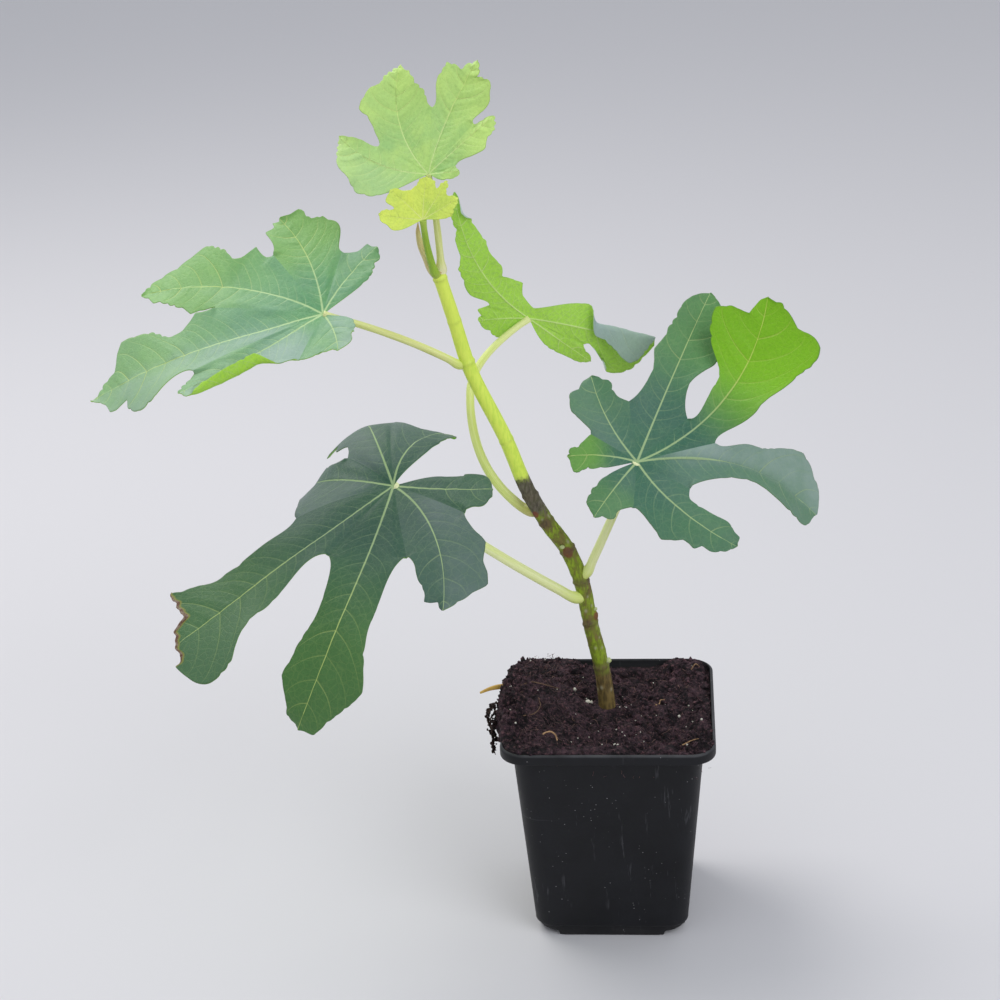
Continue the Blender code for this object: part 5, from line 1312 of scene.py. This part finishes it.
def makeFibres():
    # short curved strands that lie on the compost and lift off it in low arcs
    out, over = soilEdge()[1:]
    dice = np.random.default_rng(compost["seed"] + 2)
    count, steps = fibre["count"], fibre["steps"]
    k = dice.integers(0, compost["around"], count)
    share = np.sqrt(dice.uniform(0.01, 0.92, count))
    start = soilPoint(k, share, out, over)[:, :2]
    length = fibre["shortest"] + fibre["more"] * dice.uniform(0, 1, count) ** 2.6
    turn = dice.uniform(0, 2 * math.pi, count)[:, None]
    t = np.linspace(0, 1, steps)
    turn = turn + dice.normal(0, fibre["bend"], count)[:, None] * t + 0.35 * np.sin(7 * t + turn)
    flat = start[:, None] + np.cumsum(heading(turn) * (length / (steps - 1))[:, None, None], 1)
    arc = dice.uniform(0.0, fibre["arc"], count)[:, None] * np.sin(math.pi * t) * ease(length[:, None] / 6)
    # near the edge the compost rounds off, so strands dip there, less so at the heap
    x, y = flat[..., 0], flat[..., 1]
    side = np.where((x <= 0.0) & (np.abs(y + 4.0) < 24.0), np.maximum(-x - 4.0, 0.0), np.abs(x))
    far = (side ** 8 + y ** 8) ** 0.125
    lines = onSoil(flat, arc + 0.15 - fibre["dip"] * ease((far - fibre["edge"]) / 3.0))
    # strands stay over the compost, so they are pulled in where they would reach past the wall on three sides
    throat = pot["rimHalf"] - pot["rimWidth"] - 0.9
    lines[..., :2] = np.clip(lines[..., :2], [-pot["rimHalf"] - 4.0, -throat], throat)
    smooth = lines.copy()
    smooth[:, 1:-1] = (lines[:, :-2] + 2 * lines[:, 1:-1] + lines[:, 2:]) / 4
    radii = dice.uniform(fibre["thin"], fibre["thick"], count)[:, None] * (1.0 - 0.55 * t)
    addStrands("compostFibres", smooth, radii, 4, (0.13, 0.2, 0.97), dice.uniform(0, 1, count) ** 2.4,
               fibreMaterial("fibre", (0.09, 0.045, 0.055), (0.30, 0.17, 0.14)))


makeFibres()


# roots that show one by one: points (x, y, height over the compost), radius at the start and end, tone
strands = (
    (((20.0, 4.0, 0.6), (21.2, 6.6, 1.5), (22.0, 11.0, 1.7), (24.0, 14.0, 0.4)), (0.34, 0.2), 0.8),
    (((35.3, 30.4, 1.2), (37.6, 32.6, 1.3), (39.0, 33.3, 0.6)), (0.3, 0.2), 0.6),
    (((30.0, -34.4, 0.6), (32.6, -31.6, 1.3), (35.0, -29.2, 1.4), (38.0, -27.0, 0.8)), (0.27, 0.15), 1.0),
    (((-26.4, -38.4, 0.6), (-25.6, -36.2, 1.6), (-23.4, -35.6, 1.8), (-21.6, -37.2, 1.2), (-20.6, -39.6, 0.3)),
     (0.36, 0.3), 0.9),
    (((-38.0, 2.0, 0.8), (-33.0, 6.0, 2.2), (-27.0, 7.0, 1.8), (-22.0, 11.0, 0.5)), (0.26, 0.14), 0.3),
    (((-36.0, -20.0, 0.6), (-31.0, -15.0, 1.6), (-29.0, -9.0, 1.4), (-31.0, -3.0, 0.4)), (0.24, 0.14), 0.25),
)
# roots that hang over the lip: points, radius at the start and end
hanging = (
    (((-48.6, -9.0, 98.0), (-50.6, -8.6, 93.0), (-50.2, -8.2, 86.0), (-49.2, -8.0, 76.0)), (0.36, 0.16)),
    (((-48.8, -6.0, 99.0), (-51.6, -6.6, 95.5), (-51.4, -7.4, 89.0), (-50.0, -8.4, 83.5)), (0.30, 0.14)),
    (((-48.0, -3.0, 99.0), (-51.0, -3.4, 97.0), (-52.2, -4.4, 92.0), (-51.0, -5.6, 87.0)), (0.26, 0.12)),
    (((-47.6, -12.0, 97.0), (-49.4, -12.4, 92.0), (-49.0, -11.6, 87.5), (-48.4, -10.6, 84.0)), (0.24, 0.12)),
    (((-48.0, -17.0, 97.0), (-49.6, -17.6, 93.0), (-49.2, -18.4, 89.0), (-48.8, -19.0, 86.5)), (0.22, 0.10)),
)
root = dict(steps=26, around=8, hangTone=0.08, crumbs=120)


def makeStrands():
    # the roots that stand out, each a smooth tube a little above the compost
    steps = root["steps"]
    lines, radii, tones = [], [], []
    for stops, ends, tone in strands:
        stops = np.array(stops)
        line = curveThrough(onSoil(stops[:, :2], stops[:, 2] * 0.8), steps)[0]
        lines.append(line + cloud(line, 2.3, 7)[:, None] * np.array([0.25, 0.25, 0.15]))
        radii.append(np.linspace(*ends, steps))
        tones.append(tone)
    for stops, ends in hanging:
        line = curveThrough(stops, steps)[0]
        lines.append(line + np.stack([cloud(line, 2.0, 3), cloud(line, 2.0, 4), np.zeros(steps)], -1) * 0.5)
        radii.append(np.linspace(*ends, steps))
        tones.append(root["hangTone"])
    lines = np.array(lines)
    addStrands("rootStrands", lines, np.array(radii), root["around"], (0.31, 0.9, 0.29), tones,
               fibreMaterial("root", (0.04, 0.02, 0.017), (0.50, 0.30, 0.15)))
    # crumbs that cling to the hanging strands
    dice = np.random.default_rng(compost["seed"] + 5)
    count = root["crumbs"]
    which = dice.integers(len(strands), len(lines), count)
    spot = (dice.uniform(0, 1, count) ** 1.4 * (steps - 1)).astype(int)
    centres = lines[which, spot] + dice.normal(0, 0.75, (count, 3)) * np.array([0.7, 1.3, 0.7])
    radii = 0.3 + 0.75 * dice.uniform(0, 1, count) ** 2
    makeLumps("hangingCrumbs", centres, radii, soilMaterial("peatHanging", (0.012, 0.008, 0.008), (0.04, 0.02, 0.02)),
              17)


makeStrands()


straw = dict(points=((-55.8, 2.2, 100.6), (-51.6, 4.1, 101.6), (-46.6, 5.2, 102.2), (-40.0, 7.2, 101.6)),
             radii=(0.5, 1.15, 0.7), steps=50, around=20,
             tones=((0.72, 0.46, 0.10), (0.52, 0.28, 0.05), (0.74, 0.50, 0.14), (0.36, 0.18, 0.04)))


def makeStraw():
    # one flat dry straw, ribbed lengthwise
    turn, share = turns(straw["around"]), np.linspace(0, 1, straw["steps"])
    radius = np.interp(share, [0, 0.5, 1], straw["radii"])[:, None]
    radius = radius * (0.75 + 0.25 * np.cos(2 * turn)) * (1 + 0.05 * np.cos(9 * turn))
    addTube("straw", curveThrough(straw["points"], straw["steps"])[0], radius, share,
            tissueMaterial("strawSkin", straw["tones"], 0.6), "compost")


makeStraw()


def perliteMaterial():
    # chalky white with small brown pits
    material, place = newMaterial("perlite")
    fine = place.grain(2600.0, 4.0, 0.7)
    colour = coated(mix(fine.ramp(0.35, 0.7), (0.62, 0.58, 0.48), (0.86, 0.84, 0.78)),
                    (place.cells(1500.0).ramp(0.05, 0.3, 1.0, 0.0) * 0.5, (0.35, 0.30, 0.22)))
    return finish(material, colour, fine.ramp(0.3, 0.7, 0.6, 0.85), fine, 0.0004, 0.8)


perlite = dict(strewn=46, reach=36, small=(0.14, 0.34), grains=(  # x, y and radius of the larger grains
    (-15.4, 16.4, 0.75), (-9.5, 9.8, 0.95), (-8.0, 9.0, 0.7), (3.0, -32.2, 0.7), (4.3, -34.7, 0.5),
    (29.9, -4.1, 0.6), (39.3, -14.9, 0.5), (33.0, -31.4, 0.6), (-42.4, -0.5, 0.6), (-41.2, -18.3, 0.45),
    (-38.3, -30.6, 0.4)))


def makePerlite():
    # white grains where the photo shows them, and a few small ones strewn about
    grains = np.array(perlite["grains"])
    dice = np.random.default_rng(compost["seed"] + 9)
    more = dice.uniform(-perlite["reach"], perlite["reach"], (perlite["strewn"], 2))
    sizes = np.concatenate([grains[:, 2], dice.uniform(*perlite["small"], perlite["strewn"])])
    spots = np.concatenate([grains[:, :2], more])
    makeLumps("perliteGrains", onSoil(spots, 0.45), sizes, perliteMaterial(), 29, 0.2, 0.8)


makePerlite()
print("compost made")


def makeSideBuds():
    # small round buds on the bark: balls at the stem's surface, half sunk in
    line, s = curveThrough(stemStops, 600)[:2]
    way, across, other = frames(line, (0.0, 1.0, 0.0))
    places, sides, sizes = np.array(stem["buds"]).T
    k = np.array([np.argmin(np.abs(s - place)) for place in places])
    turn = np.radians(sides)[:, None]
    centres = line[k] + (np.cos(turn) * across[k] + np.sin(turn) * other[k]) * stem["budOut"]
    material, place = newMaterial("sideBudSkin")
    fine = place.grain(1500.0, 3.0, 0.6)
    colour = mix(fine.ramp(0.35, 0.65), (0.62, 0.66, 0.34), (0.46, 0.54, 0.20))
    finish(material, colour, fine.ramp(0.3, 0.7, 0.45, 0.6), fine, 0.0002, 0.5)
    makeLumps("sideBuds", centres, sizes, material, 3, 0.06, 0.9)


makeSideBuds()
print("side buds made")


# Room, light and camera

room = dict(floorTone=(0.70, 0.69, 0.71), floorHalf=6.0, skyTone=(0.86, 0.89, 0.95), skyStrength=0.66,
            # lights: place, target, size, power, tone
            lights=dict(keyLight=((-0.7, 0.5, 1.3), (-0.05, 0.0, 0.2), 0.9, 9.5, (1.0, 0.98, 0.95)),
                        fillLight=((0.9, -1.0, 1.1), (-0.03, 0.0, 0.2), 1.2, 8.5, (0.95, 0.97, 1.0))))
view = dict(place=(0.027815, -0.860069, 0.550461), turn=4.74, tilt=22.57, roll=-2.36, lens=81.0)


def putInScene(name, data):
    # a new object in the scene
    item = bpy.data.objects.new(name, data)
    bpy.context.scene.collection.objects.link(item)
    return item


def makeRoom():
    # a wide pale floor and an even pale sky
    half = room["floorHalf"]
    mesh = bpy.data.meshes.new("floor")
    mesh.from_pydata([(-half, -half, 0), (half, -half, 0), (half, half, 0), (-half, half, 0)], [], [(0, 1, 2, 3)])
    mesh.materials.append(finish(newMaterial("paleFloor")[0], room["floorTone"], 0.85, None, 0.0, 0.0))
    putInScene("floor", mesh)
    world = bpy.data.worlds.new("room")
    bpy.context.scene.world = world
    world.use_nodes = True
    sky = world.node_tree.nodes["Background"].inputs
    feed(sky["Color"], room["skyTone"])
    feed(sky["Strength"], room["skyStrength"])


def aim(item, place, back, up):
    # columns of the turn: right, up and back
    right = unit(np.cross(up, back))
    turn = np.stack([right, np.cross(back, right), back, np.array(place, float)], 1)
    item.matrix_world = Matrix([*turn.tolist(), [0, 0, 0, 1]])


def addLight(name, where, target, size, power, tone):
    # a soft round lamp at its place, turned to its target
    light = bpy.data.lights.new(name, "AREA")
    light.shape = "DISK"
    light.size, light.energy, light.color = size, power, tone
    aim(putInScene(name, light), where, unit(np.array(where) - np.array(target)), np.array([0.0, 0.1, 1.0]))


def makeCamera():
    # the back of the camera from its turn and tilt, its top rolled about that line
    turn, tilt, roll = (math.radians(view[key]) for key in ("turn", "tilt", "roll"))
    back = np.array([math.sin(turn) * math.cos(tilt), -math.cos(turn) * math.cos(tilt), math.sin(tilt)])
    right = unit(np.cross([0, 0, 1.0], back))
    up = np.cross(back, right)
    data = bpy.data.cameras.new("camera")
    data.lens, data.sensor_width, data.clip_start = view["lens"], 36.0, 0.01
    bpy.context.scene.camera = putInScene("camera", data)
    aim(bpy.context.scene.camera, view["place"], back, up * math.cos(roll) - right * math.sin(roll))


makeRoom()
for name, light in room["lights"].items():
    addLight(name, *light)
makeCamera()
bpy.context.scene.view_settings.view_transform = "Standard"
print("room, light and camera made")
